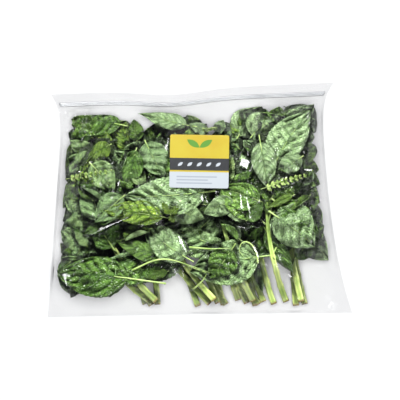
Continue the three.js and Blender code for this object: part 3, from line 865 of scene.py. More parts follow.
# %% [markdown]
# ## Laying the leaves
# Each copy of the blade is carried from its flat grid onto a leaf. Along the blade a smooth line runs
# through the heights of neck, stations and tip, once for the midrib and once for each edge, and across it a
# gentle curve joins the three. The puckers stand on that, and a turned leaf has them the other way up. No
# two leaves are alike: their veins wander, their blades crumple and wave, and some fold over. Last, the few
# points that would come through the label are pressed down under it.

# %% Height of a leaf at any point
def eased(share):
    return share * share * (3 - 2 * share)


def smooth_through(places, values, at):
    slopes = np.gradient(values, places)
    step = np.clip(np.searchsorted(places, at) - 1, 0, len(places) - 2)
    span = places[step + 1] - places[step]
    s = (at - places[step]) / span
    blend_in = eased(s)
    lead = s * (1 - s) ** 2 * span * slopes[step]
    trail = s * s * (s - 1) * span * slopes[step + 1]
    return values[step] * (1 - blend_in) + values[step + 1] * blend_in + lead + trail


def blade_height(table, u, v):
    left, rib, right = (smooth_through(LEAF_PLACES, table[:, k], u) for k in range(3))
    return rib + v * (left - right) / 2 + v * v * ((left + right) / 2 - rib)


first_table = sprig_heights[0][1][0][1]
print("middle of the first leaf", round(float(blade_height(first_table, np.array([0.5]), 0)[0]), 1))

# %% Veins and puckers
FULL_TURN = 6.28
WANDER_ALONG, WAVES_ALONG = 0.32, 6
WANDER_ACROSS, WAVES_ACROSS = 0.3, 4
PUCKERS_ACROSS, PUCKER_SHIFT, SHIFT_WAVES = 3.2, 0.35, 9
UNEVENNESS, UNEVEN_ALONG, UNEVEN_ACROSS = 0.5, 7, 3
RIDGE_SHARE, PUCKER_SHARE = 0.55, 0.45
RIB_CLEARANCE, EDGE_CLEARANCE, TIP_CLEARANCE = 4, 6, 5


def uneven_veins(u, v, draws):
    along = WANDER_ALONG * np.sin(WAVES_ALONG * u + FULL_TURN * draws[0])
    across = WANDER_ACROSS * np.sin(WAVES_ACROSS * v + FULL_TURN * draws[2])
    return u + (along + across + (draws[1] - 0.5) * np.sign(v)) / VEIN_PAIRS


def set_vein_map(piece, u, v):
    corners = np.empty(len(piece.data.loops), np.int32)
    piece.data.loops.foreach_get("vertex_index", corners)
    places = np.stack((u, (v + 1) / 2), axis=1)[corners]
    piece.data.uv_layers[0].uv.foreach_set("vector", places.astype(np.float32).ravel())


def quilting(u, v, draws):
    phase = (u - VEIN_RAKE * np.abs(v) ** VEIN_CURVE) * VEIN_PAIRS
    between_veins = np.abs(np.sin(np.pi * phase))
    shift = PUCKER_SHIFT * np.sin(SHIFT_WAVES * u + FULL_TURN * draws[0])
    across_them = np.abs(np.sin(np.pi * (PUCKERS_ACROSS * np.abs(v) + shift)))
    sway_along = np.sin(UNEVEN_ALONG * u + FULL_TURN * draws[1])
    sway_across = np.sin(UNEVEN_ACROSS * v + FULL_TURN * draws[2])
    uneven = 1 + UNEVENNESS * sway_along * sway_across
    off_midrib = np.minimum(1, np.abs(v) * RIB_CLEARANCE)
    quilt = between_veins * (RIDGE_SHARE + PUCKER_SHARE * across_them) * uneven
    inner = (1 - np.abs(v) ** EDGE_CLEARANCE) * np.clip(TIP_CLEARANCE * (1 - u), 0, 1)
    return (quilt - 0.5) * off_midrib * inner, np.clip(quilt * off_midrib, 0, 1)


print("puckers ready")

# %% Folds and crumples
FOLD_RADIUS = 2.2
SIDE_FOLD_BELOW, SIDE_FOLD_AT, SIDE_FOLD_LEAN = 0.35, 0.45, math.radians(30)
SIDE_FOLD_NEAREST, SIDE_FOLD_RANGE, UPWARD_BELOW = 0.3, 0.5, 0.6
LONG_FOLD_ABOVE, LONG_FOLD_RANGE = 0.86, 0.2
TIP_FOLD_BELOW, TIP_FOLD_LEAN = 0.22, math.radians(80)
TIP_FOLD_NEAREST, TIP_FOLD_RANGE = 0.72, 0.16
CRUMPLE, CRUMPLE_WAVES, CRUMPLE_LENGTH, CRUMPLE_SPREAD = 3.0, 3, 11, 1.7


def fold_over(forward, side, fold):
    at_forward, at_side, direction, upward = fold
    toward = (math.cos(direction), math.sin(direction))
    past = (forward - at_forward) * toward[0] + (side - at_side) * toward[1]
    bent = np.clip(past, 0, math.pi * FOLD_RADIUS) / FOLD_RADIUS
    rolled = FOLD_RADIUS * np.sin(bent) - np.maximum(past - math.pi * FOLD_RADIUS, 0)
    moved = np.where(past > 0, rolled - past, 0)
    lift = upward * FOLD_RADIUS * (1 - np.cos(bent))
    return forward + toward[0] * moved, side + toward[1] * moved, lift, np.cos(bent)


def draw_folds(leaf, draws):
    half = leaf.width / 2
    folds = []
    if draws[0] < SIDE_FOLD_BELOW:
        sign = 1 if draws[1] < 0.5 else -1
        lean = SIDE_FOLD_LEAN * (draws[2] - 0.5)
        spot = half * (SIDE_FOLD_NEAREST + SIDE_FOLD_RANGE * draws[3])
        upward = 1 if draws[4] < UPWARD_BELOW else -1
        folds.append((leaf.length * SIDE_FOLD_AT, sign * spot, sign * (math.pi / 2 + lean), upward))
    if draws[0] > LONG_FOLD_ABOVE:
        direction = math.pi / 2 if draws[1] < 0.5 else -math.pi / 2
        folds.append((0, half * LONG_FOLD_RANGE * (draws[3] - 0.5), direction, 1))
    if draws[5] < TIP_FOLD_BELOW:
        lean = TIP_FOLD_LEAN * (draws[6] - 0.5)
        spot = leaf.length * (TIP_FOLD_NEAREST + TIP_FOLD_RANGE * draws[7])
        folds.append((spot, 0, lean, 1 if draws[8] < 0.5 else -1))
    return folds


def crumple(forward, side, draws):
    total = np.zeros_like(forward)
    for k in range(CRUMPLE_WAVES):
        direction = math.pi * draws[2 * k]
        length = CRUMPLE_LENGTH * (k + 1)
        phase = 2 * math.pi * draws[2 * k + 1]
        run = forward * math.cos(direction) + side * math.sin(direction)
        total += np.sin(run * FULL_TURN / length + phase)
    return CRUMPLE * total / CRUMPLE_SPREAD


print("folds and crumples ready")

# %% Laying a blade
PUCKER_HEIGHT = 0.07
EDGE_WAVE, EDGE_WAVES, EDGE_SLANT, EDGE_REACH = 3.0, 16, 2, 3
TOOTH_DEPTH, TOOTH_REACH = 0.02, 6
UNEVEN_HALVES = 0.3
LEAST_OUTLINE = 0.15
NECK_STIFFNESS = 6
SLACK_WIDTH = 40
LOWEST_LEAF = 0.9
DARK_SIDE, DARK_REACH, LEFT_SHADE_TONE = -170, 150, -0.35
LEAF_DRAWS = 21
FOLD_DRAWS, WAVE_DRAW, CRUMPLE_DRAWS = slice(0, 9), 9, slice(10, 16)
VEIN_DRAWS, HALVES_DRAW, TOOTH_DRAW = slice(16, 19), 19, 20


def copy_of(master, materials):
    piece = bpy.data.objects.new(master.name, master.data.copy())
    bpy.context.scene.collection.objects.link(piece)
    for material in materials:
        piece.data.materials.append(material)
    return piece


def lay_blade(leaf, table, turned, tone, youth, draws, master=blade_master):
    piece = copy_of(master, (upper_face, lower_face, upper_face))
    flat = get_points(master)
    u, v = flat[:, 0], get_attribute(master, "across")
    halves = 1 + UNEVEN_HALVES * (draws[HALVES_DRAW] - 0.5) * np.sign(v)
    notches = np.sin(4 * np.pi * VEIN_PAIRS * u + FULL_TURN * draws[TOOTH_DRAW])
    teeth = 1 + TOOTH_DEPTH * np.abs(v) ** TOOTH_REACH * notches
    forward, side = u * leaf.length, flat[:, 1] * leaf.width / 2 * halves * teeth
    lifts, facing = np.zeros_like(u), np.full_like(u, -1.0 if turned else 1.0)
    for fold in draw_folds(leaf, draws[FOLD_DRAWS]):
        forward, side, lift, upright = fold_over(forward, side, fold)
        lifts, facing = lifts + lift, facing * upright
    x, y = leaf_plan(leaf, leaf.stalk + forward, side)
    over_u = np.clip(forward / leaf.length, 0, 1)
    over_v = np.clip(side / (leaf.width / 2 * np.maximum(outline(over_u), LEAST_OUTLINE)), -1, 1)
    vein_u = uneven_veins(u, v, draws[VEIN_DRAWS])
    set_vein_map(piece, vein_u, v)
    puckers, crest = quilting(vein_u, v, draws[VEIN_DRAWS])
    relief = facing * PUCKER_HEIGHT * leaf.width * puckers
    wave = np.sin(FULL_TURN * draws[WAVE_DRAW] + EDGE_WAVES * u + EDGE_SLANT * v)
    ripple = EDGE_WAVE * np.abs(v) ** EDGE_REACH * wave * np.sin(np.pi * u)
    off_neck = np.clip(u * NECK_STIFFNESS, 0, 1)
    z = blade_height(table, over_u, over_v) + lifts + relief + ripple
    slack = min(1, leaf.width / SLACK_WIDTH)
    z += slack * off_neck * crumple(u * leaf.length, v * leaf.width / 2, draws[CRUMPLE_DRAWS])
    z = np.maximum(z, LOWEST_LEAF)
    set_points(piece, np.stack((x, y, z), axis=1) * MM)
    # Leaves towards the bag's left get a lower tone and look darker: painted shade on that side of the pile.
    middle = leaf.x + math.cos(leaf.heading) * (leaf.stalk + leaf.length / 2)
    lit = np.clip((middle - DARK_SIDE) / DARK_REACH, 0, 1)
    set_attribute(piece, "tone", np.full(len(u), lerp(LEFT_SHADE_TONE, tone, lit)))
    set_attribute(piece, "youth", np.full(len(u), youth))
    # Where the crest share is low, the leaf finish paints the hollow dark: painted shade.
    set_attribute(piece, "crest", crest)
    if turned:
        piece.data.polygons.foreach_set("material_index", np.ones(len(piece.data.polygons), np.int32))
    return piece


print("draws for each leaf", LEAF_DRAWS)

# %% Laying a stalk with its midrib, and a stem
STALK_RADIUS, RIB_RADIUS, RADIUS_FALL = 1.05, 0.6, 4
THIN_RIB, FULL_RIB_WIDTH = 0.35, 50
RIB_RAISED, RIB_SUNK, RIB_RISE = 0.25, -0.35, 20
STEM_FULLNESS = 1.22
STEM_OVERHANG = 4
LOOK_AHEAD = 0.001


def lay_rib(leaf, table, root_height, turned):
    piece = copy_of(rib_master, (stalk_skin,))
    rod = get_points(rib_master)
    on_stalk = rod[:, 0] < 0
    u = np.clip(rod[:, 0], 0, 1) * RIB_REACH
    back = np.clip(1 + rod[:, 0], 0, 1)
    forward = np.where(on_stalk, leaf.stalk * back, leaf.stalk + u * leaf.length)
    fullness = min(1, max(THIN_RIB, leaf.width / FULL_RIB_WIDTH))
    radius = lerp(STALK_RADIUS, RIB_RADIUS, np.clip(rod[:, 0] * RADIUS_FALL, 0, 1)) * fullness
    x, y = leaf_plan(leaf, forward, rod[:, 1] * radius)
    proud = (RIB_RAISED if turned else RIB_SUNK) * np.clip(u * RIB_RISE, 0, 1)
    on_blade = blade_height(table, u, np.zeros(len(u))) + proud
    z = np.where(on_stalk, lerp(root_height, table[0, 1], eased(back)), on_blade) + rod[:, 2] * radius
    set_points(piece, np.stack((x, y, z), axis=1) * MM)
    return piece


def lay_stem(row, heights):
    piece = copy_of(stem_master, (stem_skin,))
    rod = get_points(stem_master)
    length = math.hypot(row[2] - row[0], row[3] - row[1])
    along = lerp(-STEM_OVERHANG / length, 1, np.clip(rod[:, 2], 0, 1))
    x, y = stem_point(row, along)
    ahead_x, ahead_y = stem_point(row, along + LOOK_AHEAD)
    run = np.hypot(ahead_x - x, ahead_y - y)
    z = smooth_through(np.linspace(0, 1, STEM_STEPS + 1), heights, np.maximum(along, 0))
    radius = lerp(CUT_RADIUS, TIP_RADIUS, along) * STEM_FULLNESS
    across_x, across_y = -(ahead_y - y) / run, (ahead_x - x) / run
    x = x + across_x * rod[:, 0] * radius
    y = y + across_y * rod[:, 0] * radius
    set_points(piece, np.stack((x, y, z + rod[:, 1] * radius), axis=1) * MM)
    return piece


print("thickest stem", round(2 * CUT_RADIUS * STEM_FULLNESS, 1))

# %% Joining and thickening
BLADE_THICKNESS = 0.45


def join(pieces, name):
    select_only(*pieces)
    bpy.ops.object.join()
    pieces[0].name = name
    pieces[0].data.name = name
    return pieces[0]


def smooth(piece):
    piece.data.polygons.foreach_set("use_smooth", np.ones(len(piece.data.polygons), bool))


def thicken(blades):
    apply_modifier(
        blades,
        "SOLIDIFY",
        thickness=BLADE_THICKNESS * MM,
        offset=0,
        use_rim=True,
        material_offset=1,
        material_offset_rim=0,
    )


print("blade thickness", BLADE_THICKNESS)

# %% Sprigs and plucked leaves
TURNED_SHARE = 0.5
TIP_YOUTH, TIP_YOUTH_RANGE, YOUTH_RANGE = 0.35, 0.5, 0.25
PALE_PLUCKED = (1, 4, 5, 7, 9, 12)
BRIGHT_PLUCKED = (10,)
DULL_PLUCKED = (2, 8, 11)
BRIGHT_YOUTH, PLUCKED_YOUTH, DULL_TONE = 0.8, 0.1, 0.1
UNFOLDED = 0.8
CHANCE_SEED = 11

chance = np.random.default_rng(CHANCE_SEED)
leafy_pieces = []
for number, plan in enumerate(sprig_plans):
    stem, tables = sprig_heights[number]
    blades, rods = [], []
    for place, (leaf, (root, table, _)) in enumerate(zip(plan, tables)):
        turned = chance.random() < TURNED_SHARE
        tip_leaf = place == len(plan) - 1
        if tip_leaf:
            youth = TIP_YOUTH + TIP_YOUTH_RANGE * chance.random()
        else:
            youth = YOUTH_RANGE * chance.random() ** 2
        blades.append(lay_blade(leaf, table, turned, chance.random(), youth, chance.random(LEAF_DRAWS)))
        rods.append(lay_rib(leaf, table, root, turned))
    sprig = join(blades, f"sprig_{number + 1:02d}")
    thicken(sprig)
    sprig = join([sprig, lay_stem(SPRIGS[number], stem), *rods], f"sprig_{number + 1:02d}")
    smooth(sprig)
    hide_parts(f"basil_sprig_{number + 1:02d}")
    leafy_pieces.append(sprig)
for number, (leaf, (root, table, _)) in enumerate(zip(plucked_plans, plucked_heights)):
    turned = number + 1 in PALE_PLUCKED
    youth = BRIGHT_YOUTH if number + 1 in BRIGHT_PLUCKED else PLUCKED_YOUTH
    draws = chance.random(LEAF_DRAWS)
    draws[[0, 5]] = UNFOLDED
    tone = chance.random() * (DULL_TONE if number + 1 in DULL_PLUCKED else 1)
    blade = lay_blade(leaf, table, turned, tone, youth, draws)
    thicken(blade)
    plucked = join([blade, lay_rib(leaf, table, root, turned)], f"plucked_{number + 1:02d}")
    smooth(plucked)
    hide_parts(f"plucked_leaf_{number + 1:02d}")
    leafy_pieces.append(plucked)
print("leafy pieces", len(leafy_pieces), "faces", sum(len(piece.data.polygons) for piece in leafy_pieces))

# %% Pressing the leaves under the label
LABEL_SLOPE = -0.12
LABEL_GAP = 1.2
LABEL_MARGIN = 2.0

low, high = (np.array(corner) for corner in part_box("label"))
centre = (low + high) / 2
pressed = 0
for piece in leafy_pieces:
    points = get_points(piece)
    near = np.all(np.abs(points - centre)[:, :2] < ((high - low) / 2)[:2] + LABEL_MARGIN * MM, axis=1)
    limit = centre[2] + LABEL_SLOPE * (points[:, 1] - centre[1]) - LABEL_GAP * MM
    too_high = near & (points[:, 2] > limit)
    pressed += too_high.sum()
    points[too_high, 2] = limit[too_high]
    set_points(piece, points)
print("points pressed down", pressed)

# %% [markdown]
# ## Side leaves, young leaves, shoots and flower spikes
# Leaves fill the bag out to its sides, stem tips carry small bright leaves, and between them show bare
# stalks, side shoots and here and there a spike of buds. Most of them lie loosely on the pile, so the
# pile's height is needed first: the highest point of the leaves over each small square of the plan. Each
# piece then grows with the sprig whose tip is nearest.

# %% Height of the pile
GROUND_CELL = 3.0
GROUND_HALF_WIDTH, GROUND_HALF_HEIGHT = 210, 165
BARE_HEIGHT = 0.6


def ground_cells(x, y):
    row = np.asarray((np.asarray(y) + GROUND_HALF_HEIGHT) / GROUND_CELL).astype(int)
    column = np.asarray((np.asarray(x) + GROUND_HALF_WIDTH) / GROUND_CELL).astype(int)
    return row, column


def widened(heights):
    padded = np.pad(heights, 1, mode="edge")
    rows, columns = heights.shape
    shifts = [padded[a : a + rows, b : b + columns] for a in range(3) for b in range(3)]
    return np.max(shifts, axis=0)


def ground_map():
    rows = int(2 * GROUND_HALF_HEIGHT / GROUND_CELL)
    columns = int(2 * GROUND_HALF_WIDTH / GROUND_CELL)
    heights = np.full((rows, columns), BARE_HEIGHT)
    for piece in leafy_pieces:
        points = get_points(piece) / MM
        np.maximum.at(heights, ground_cells(points[:, 0], points[:, 1]), points[:, 2])
    return widened(heights)


pile_top = ground_map()
print("highest leaf", round(float(pile_top.max()), 1))

# %% Loose leaves
STALK_SHARE = 0.08
EDGE_INSET = -3
LEVELLING = 0.6
REST = 1.2

growth = [[] for _ in SPRIGS]


def nearest_sprig(x, y):
    return min(range(len(SPRIGS)), key=lambda n: math.hypot(SPRIGS[n][2] - x, SPRIGS[n][3] - y))


def loose_leaf(x, y, tip_x, tip_y, width, sweep):
    reach = math.hypot(tip_x - x, tip_y - y)
    heading = math.atan2(tip_y - y, tip_x - x)
    leaf = Leaf(x, y, heading, STALK_SHARE * reach, (1 - STALK_SHARE) * reach, width, sweep, EDGE_INSET)
    rows = []
    for u in LEAF_PLACES:
        half = np.array((1, 0, -1)) * width / 2 * outline(u)
        plan = leaf_plan(leaf, leaf.stalk + u * leaf.length, half)
        rows.append(pile_top[ground_cells(*plan)])
    table = np.array(rows)
    return leaf, lerp(table, table.mean(), LEVELLING) + REST


def add_leaf(leaf, table, turned, tone, youth, master):
    blade = lay_blade(leaf, table, turned, tone, youth, chance.random(LEAF_DRAWS), master)
    thicken(blade)
    growth[nearest_sprig(leaf.x, leaf.y)] += [blade, lay_rib(leaf, table, table[0, 1], turned)]


print("loose leaves rest", REST, "above the pile")

# %% Leaves at the sides
FRINGE_STEP, FRINGE_REACH = 17, 44
FRINGE_LEAN, FRINGE_SHORTENING = 36, 14
FRINGE_WIDTH, FRINGE_WIDTH_RANGE, FRINGE_SWEEP = 22, 22, 0.4
FRINGE_SUNK, FRINGE_LOWEST, FRINGE_HIGHEST = 2, 5, 30
# Side leaves draw their tone at random from a range raised above the other leaves': partly painted light,
# for they lie in the pile's shade.
FRINGE_LIT_TONES, FRINGE_YOUTH = (0.6, 1.2), 0.25
PAST_SIDE, PAST_TOP = 6, 5
LEFT_RUN, RIGHT_RUN, TOP_RUN = (-104, 112), (-57, 120), (64, 156)


def left_ends(y, lean, short):
    return room_left(y) + FRINGE_REACH, y - lean, room_left(y) - PAST_SIDE + short, y + lean


def right_ends(y, lean, short):
    return room_right(y) - FRINGE_REACH, y - lean, room_right(y) + PAST_SIDE - short, y + lean


def top_ends(x, lean, short):
    return x - lean, room_top(x) - FRINGE_REACH, x + lean, room_top(x) + PAST_TOP - short


fringe = []
for run, ends_at in ((LEFT_RUN, left_ends), (RIGHT_RUN, right_ends), (TOP_RUN, top_ends)):
    for place in np.arange(*run, FRINGE_STEP):
        lean, short = FRINGE_LEAN * (chance.random() - 0.5), FRINGE_SHORTENING * chance.random()
        fringe.append(ends_at(place, lean, short))
for ends in fringe:
    width = FRINGE_WIDTH + FRINGE_WIDTH_RANGE * chance.random()
    leaf, table = loose_leaf(*ends, width, FRINGE_SWEEP * (chance.random() - 0.5))
    table = np.clip(table - FRINGE_SUNK, FRINGE_LOWEST, FRINGE_HIGHEST)
    turned = chance.random() < TURNED_SHARE
    add_leaf(leaf, table, turned, lerp(*FRINGE_LIT_TONES, chance.random()), FRINGE_YOUTH, mid_master)
print("leaves at the sides", len(fringe))

# %% Young leaves
SMALL_LEAVES = (
    (-158, 78, -179, 30, 29, 0.55, False),
    (-143, 49, -109, 13, 34, 0.3, True),
    (-115, 73, -147, 57, 24, 0.6, False),
    (-82, 68, -96, 15, 29, 0.0, False),
    (-72, 78, -48, 28, 39, 0.0, True),
    (-156, 24, -186, -8, 25, 0.5, False),
    (-170, -70, -192, -60, 14, 0.8, False),
    (-96, 7, -136, -27, 32, 0.0, True),
    (-119, -3, -155, 18, 21, 0.0, False),
    (-62, -36, -106, -54, 26, 0.35, False),
    (-38, -8, 3, -29, 29, 0.2, True),
    (46, 0, 4, -14, 26, 0.15, True),
    (54, -53, 23, -27, 26, 0.0, True),
    (59, -27, 83, -6, 18, 0.0, False),
    (133, 57, 99, 34, 26, 0.1, True),
    (147, 39, 134, 15, 14, 0.0, True),
    (122, 7, 83, -8, 12, 0.5, False),
    (143, 7, 117, -14, 12, 0.4, False),
    (152, 13, 133, -6, 12, 0.3, False),
    (83, 97, 59, 118, 21, 0.0, True),
    (99, 94, 83, 125, 24, 0.0, True),
    (122, -77, 154, -53, 24, 0.1, False),
    (-168, -80, -193, -100, 20, 0.0, False),
    (-156, -108, -171, -128, 12, 0.2, False),
    (-140, 81, -165, 89, 13, 0.0, False),
    (-82, 76, -90, 105, 21, 0.2, False),
    (12, 86, -12, 102, 16, 0.1, True),
    (20, 86, 33, 103, 18, 0.2, True),
    (-38, -19, -48, -3, 10, 0.9, False),
    (-38, -19, -27, -8, 10, 0.8, False),
    (-38, -19, -34, -29, 9, 0.8, False),
    (-40, -92, -70, -100, 12, 0.3, False),
    (65, -77, 86, -119, 14, 0.1, True),
    (83, -35, 113, -98, 24, 0.0, False),
    (-119, -29, -150, -40, 16, 0.1, False),
    (-146, -61, -161, -40, 13, 0.3, True),
    (-150, 84, -180, 88, 18, 0.0, False),
)
FINE_LENGTH = 36
YOUNG_SWEEP = 0.3

for *ends, width, youth, turned in SMALL_LEAVES:
    leaf, table = loose_leaf(*ends, width, YOUNG_SWEEP * (chance.random() - 0.5))
    master = mid_master if leaf.length > FINE_LENGTH else small_master
    add_leaf(leaf, table, turned, chance.random(), youth, master)
print("young leaves", len(SMALL_LEAVES))

# %% Bare stalks
STALKS = (
    ((-88, -91), (-59, -78), (-38, -77), (-12, -85), (13, -94)),
    ((-14, -61), (12, -63), (41, -62)),
    ((75, -82), (73, -69), (67, -58), (59, -54), (53, -57), (51, -66), (57, -74)),
    ((117, -92), (125, -74), (133, -64)),
    ((-12, -119), (2, -106), (9, -95)),
)
LEVEL_SPAN = 7
ROUTE_STEP = 0.01


def lay_stalk(places):
    knots = np.linspace(0, 1, len(places))

    def route(at):
        return [smooth_through(knots, np.array(axis, float), at) for axis in zip(*places)]

    piece = copy_of(rib_master, (stalk_skin,))
    rod = get_points(rib_master)
    share = (rod[:, 0] + 1) / 2
    steps = np.linspace(0, 1, RIB_STEPS + 1)
    ground = pile_top[ground_cells(*route(steps))]
    padded = np.pad(ground, LEVEL_SPAN // 2, mode="edge")
    level = np.convolve(padded, np.ones(LEVEL_SPAN) / LEVEL_SPAN, mode="valid")
    height = np.interp(share, steps, np.maximum(level, 0.5 * (ground + level)))
    x, y = route(share)
    ahead_x, ahead_y = route(np.minimum(share + ROUTE_STEP, 1))
    behind_x, behind_y = route(np.maximum(share - ROUTE_STEP, 0))
    run = np.hypot(ahead_x - behind_x, ahead_y - behind_y)
    x = x - (ahead_y - behind_y) / run * rod[:, 1] * STALK_RADIUS
    y = y + (ahead_x - behind_x) / run * rod[:, 1] * STALK_RADIUS
    z = height + STALK_RADIUS + rod[:, 2] * STALK_RADIUS
    set_points(piece, np.stack((x, y, z), axis=1) * MM)
    return piece


for places in STALKS:
    growth[nearest_sprig(*places[0])].append(lay_stalk(places))
print("bare stalks", len(STALKS))

# %% Side shoots
SIDE_SHOOTS = (
    (-73, -133, -95, -44, 4),
    (32, -134, -16, -38, 5),
    (49, -128, 11, -42, -4),
    (75, -134, 15, -24, 5),
    (82, -130, 29, -20, -5),
    (137, -133, 115, -3, 5),
)
SHOOT_HEIGHTS = (5, 16)

for row in SIDE_SHOOTS:
    shoot = lay_stem(row, np.linspace(*SHOOT_HEIGHTS, STEM_STEPS + 1))
    growth[nearest_sprig(*row[2:4])].append(shoot)
print("side shoots", len(SIDE_SHOOTS))

# %% Flower spikes
SPIKES = ((78, 14, 136, 32), (-176, 27, -114, 37), (0, 90, 22, 94))
SPIKE_LIFT, SPIKE_WIDTH, FULL_SPIKE = 4, 4, 45
WHORLS, BRACTS = 9, 5
BRACT_SHIFT, BRACT_SLANT = 0.7, 0.7
LONGEST_BRACT, SHORTEST_BRACT = 6, 3.2
LEAST_BRACT, BRACT_RANGE = 0.7, 0.6
BRACT_STALK, BRACT_WIDTH, BRACT_YOUTH = 0.5, 0.62, 0.9
BRACT_BASE, BRACT_LIFT, BRACT_SPREAD = 1, 1, 3

for x0, y0, x1, y1 in SPIKES:
    axis, table = loose_leaf(x0, y0, x1, y1, SPIKE_WIDTH, 0)
    table += SPIKE_LIFT
    fullness = min(1, math.hypot(x1 - x0, y1 - y0) / FULL_SPIKE)
    bracts = []
    for place in range(WHORLS * BRACTS):
        share = (place // BRACTS + 0.5) / WHORLS
        turn = 2 * math.pi * (place % BRACTS) / BRACTS + BRACT_SHIFT * chance.random()
        lean = math.atan2(math.sin(turn), BRACT_SLANT)
        size = lerp(LONGEST_BRACT, SHORTEST_BRACT, share)
        size = size * (LEAST_BRACT + BRACT_RANGE * chance.random()) * fullness
        root = leaf_plan(axis, axis.stalk + share * axis.length, 0)
        bract = Leaf(*root, axis.heading + lean, BRACT_STALK, size, BRACT_WIDTH * size, 0)
        on_axis = smooth_through(LEAF_PLACES, table[:, 1], np.array([share]))[0]
        base = float(on_axis) + BRACT_BASE
        tip = base + BRACT_LIFT + BRACT_SPREAD * math.cos(turn)
        heights = np.outer(np.linspace(base, tip, len(LEAF_PLACES)), np.ones(3))
        tone = chance.random()
        draws = chance.random(LEAF_DRAWS)
        made = lay_blade(bract, heights, False, tone, BRACT_YOUTH, draws, bract_master)
        made.data.materials.clear()
        made.data.materials.append(bud_skin)
        bracts.append(made)
    spike = join(bracts, "spike")
    apply_modifier(spike, "SOLIDIFY", thickness=2 * BLADE_THICKNESS * MM, offset=0)
    growth[nearest_sprig(x0, y0)] += [spike, lay_rib(axis, table, table[0, 1], True)]
print("flower spikes", len(SPIKES))

# %% Joining what grew
for number, grown in enumerate(growth):
    for piece in grown:
        smooth(piece)
    if grown:
        join([leafy_pieces[number], *grown], f"sprig_{number + 1:02d}")
for piece in leafy_pieces:
    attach(piece, "root")
for master in (blade_master, mid_master, small_master, bract_master, rib_master, stem_master):
    bpy.data.objects.remove(master)
print("pieces that grew", sum(len(grown) for grown in growth))

# %% [markdown]
# ## Painted shade deep in the pile
# Hardly any light gets to leaves that lie deep in the pile. So each point keeps how far it lies under the
# leaves round it, and the colours of leaves, stalks and stems are darkened with that depth: painted shade.

# %% Depth for the painted shade
SHADE_STARTS, SHADE_FULL = 2.0, 10.0

pile_top = ground_map()
for piece in leafy_pieces:
    points = get_points(piece) / MM
    depth = pile_top[ground_cells(points[:, 0], points[:, 1])] - points[:, 2]
    share = np.clip((depth - SHADE_STARTS) / (SHADE_FULL - SHADE_STARTS), 0, 1)
    set_attribute(piece, "depth", eased(share))
print("highest leaf", round(float(pile_top.max()), 1))

# %% [markdown]
# ## The bag
# The film is thin and limp, so it rests on the highest leaves and spans the hollows between them like a
# taut skin. A fine grid over the bag's plan starts at the solid bag's height and is let down until it
# touches. Creases run where the film is pulled: out of its corners and between the stems. Small flat facets
# are tilted halfway between the camera and one of the strips, so each shows as a bright gleam.

# %% The ground under the film
FILM_COLUMNS, FILM_ROWS = 210, 162

s, t = np.meshgrid(np.linspace(0, 1, FILM_COLUMNS + 1), np.linspace(0, 1, FILM_ROWS + 1))
film_x, film_y = bag_plan(s, t)
under = pile_top[ground_cells(film_x, film_y)]
print("film points", film_x.size)

# %% Letting the film down
FILM_PASSES = 260
FILM_REST = 0.5
RAY_START = 0.2
BAG_WIDTH, BAG_HEIGHT = 402, 310
SEAL, SEAL_HEIGHT = 4, 0.9
ZIP_DROP, ZIP_WIDTH, ZIP_CLEARANCE = 12, 5, 2
LABEL_LEFT, LABEL_RIGHT, LABEL_BOTTOM, LABEL_TOP = 0.41, 0.647, 0.548, 0.802

solid_bag = BVHTree.FromObject(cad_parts["bag"], bpy.context.evaluated_depsgraph_get())
film_z = np.empty_like(film_x)
for index in np.ndindex(film_x.shape):
    start = Vector((film_x[index] * MM, film_y[index] * MM, RAY_START))
    hit = solid_bag.ray_cast(start, Vector((0, 0, -1)))[0]
    film_z[index] = hit.z / MM if hit else SEAL_HEIGHT
on_seal = (s * BAG_WIDTH < SEAL) | ((1 - s) * BAG_WIDTH < SEAL) | (t * BAG_HEIGHT < SEAL)
on_mouth = (1 - t) * BAG_HEIGHT < ZIP_DROP + ZIP_WIDTH + ZIP_CLEARANCE
on_label = (s > LABEL_LEFT) & (s < LABEL_RIGHT) & (t > LABEL_BOTTOM) & (t < LABEL_TOP)
held = on_seal | on_mouth | on_label
ceiling = film_z.copy()
lowest = under + FILM_REST
for _ in range(FILM_PASSES):
    padded = np.pad(film_z, 1, mode="edge")
    level = (padded[:-2, 1:-1] + padded[2:, 1:-1] + padded[1:-1, :-2] + padded[1:-1, 2:]) / 4
    film_z = np.where(held, film_z, np.maximum(lowest, np.minimum(level, ceiling)))
print("film height", round(float(film_z.max()), 1))

# %% Creases in the film
CREASES = (
    (-26, -46, -18, -70, 1.3, 1.6),
    (86, 0, 95, -66, 1.5, 1.8),
    (78, -6, 84, -46, 1.0, 1.5),
    (-138, -50, -92, -20, 0.8, 1.5),
    (60, -60, 82, -84, 1.2, 1.8),
    (186, -66, 178, -146, 1.3, 2.2),
    (194, -80, 190, -146, 1.0, 2.2),
    (170, 60, 163, -30, 1.2, 2.4),
    (30, 96, 120, 118, 1.0, 2.4),
    (-180, 100, -120, 116, 1.0, 2.4),
    (-176, -120, -120, -136, 0.9, 2.2),
    (56, 40, 46, 62, 0.9, 1.6),
)
CREASE_SWAY, CREASE_SWAYS, CREASE_ENDS = 3, 5, 0.5
RIPPLE, RIPPLE_REACH, RIPPLES = 0.5, 70, 17
RIPPLE_SWAY, RIPPLE_SWAYS, RIPPLE_SHARE = 1.7, 3, 0.6


def crease_field(x, y):
    total = np.zeros_like(x)
    for x0, y0, x1, y1, rise, width in CREASES:
        run = math.hypot(x1 - x0, y1 - y0)
        lengthwise = ((x - x0) * (x1 - x0) + (y - y0) * (y1 - y0)) / run**2
        crosswise = ((x - x0) * (y1 - y0) - (y - y0) * (x1 - x0)) / run
        crosswise = crosswise + CREASE_SWAY * np.sin(CREASE_SWAYS * lengthwise)
        ends = np.clip(np.sin(np.pi * np.clip(lengthwise, 0, 1)), 0, 1) ** CREASE_ENDS
        total += rise * ends * np.exp(-((crosswise / width) ** 2))
    return total


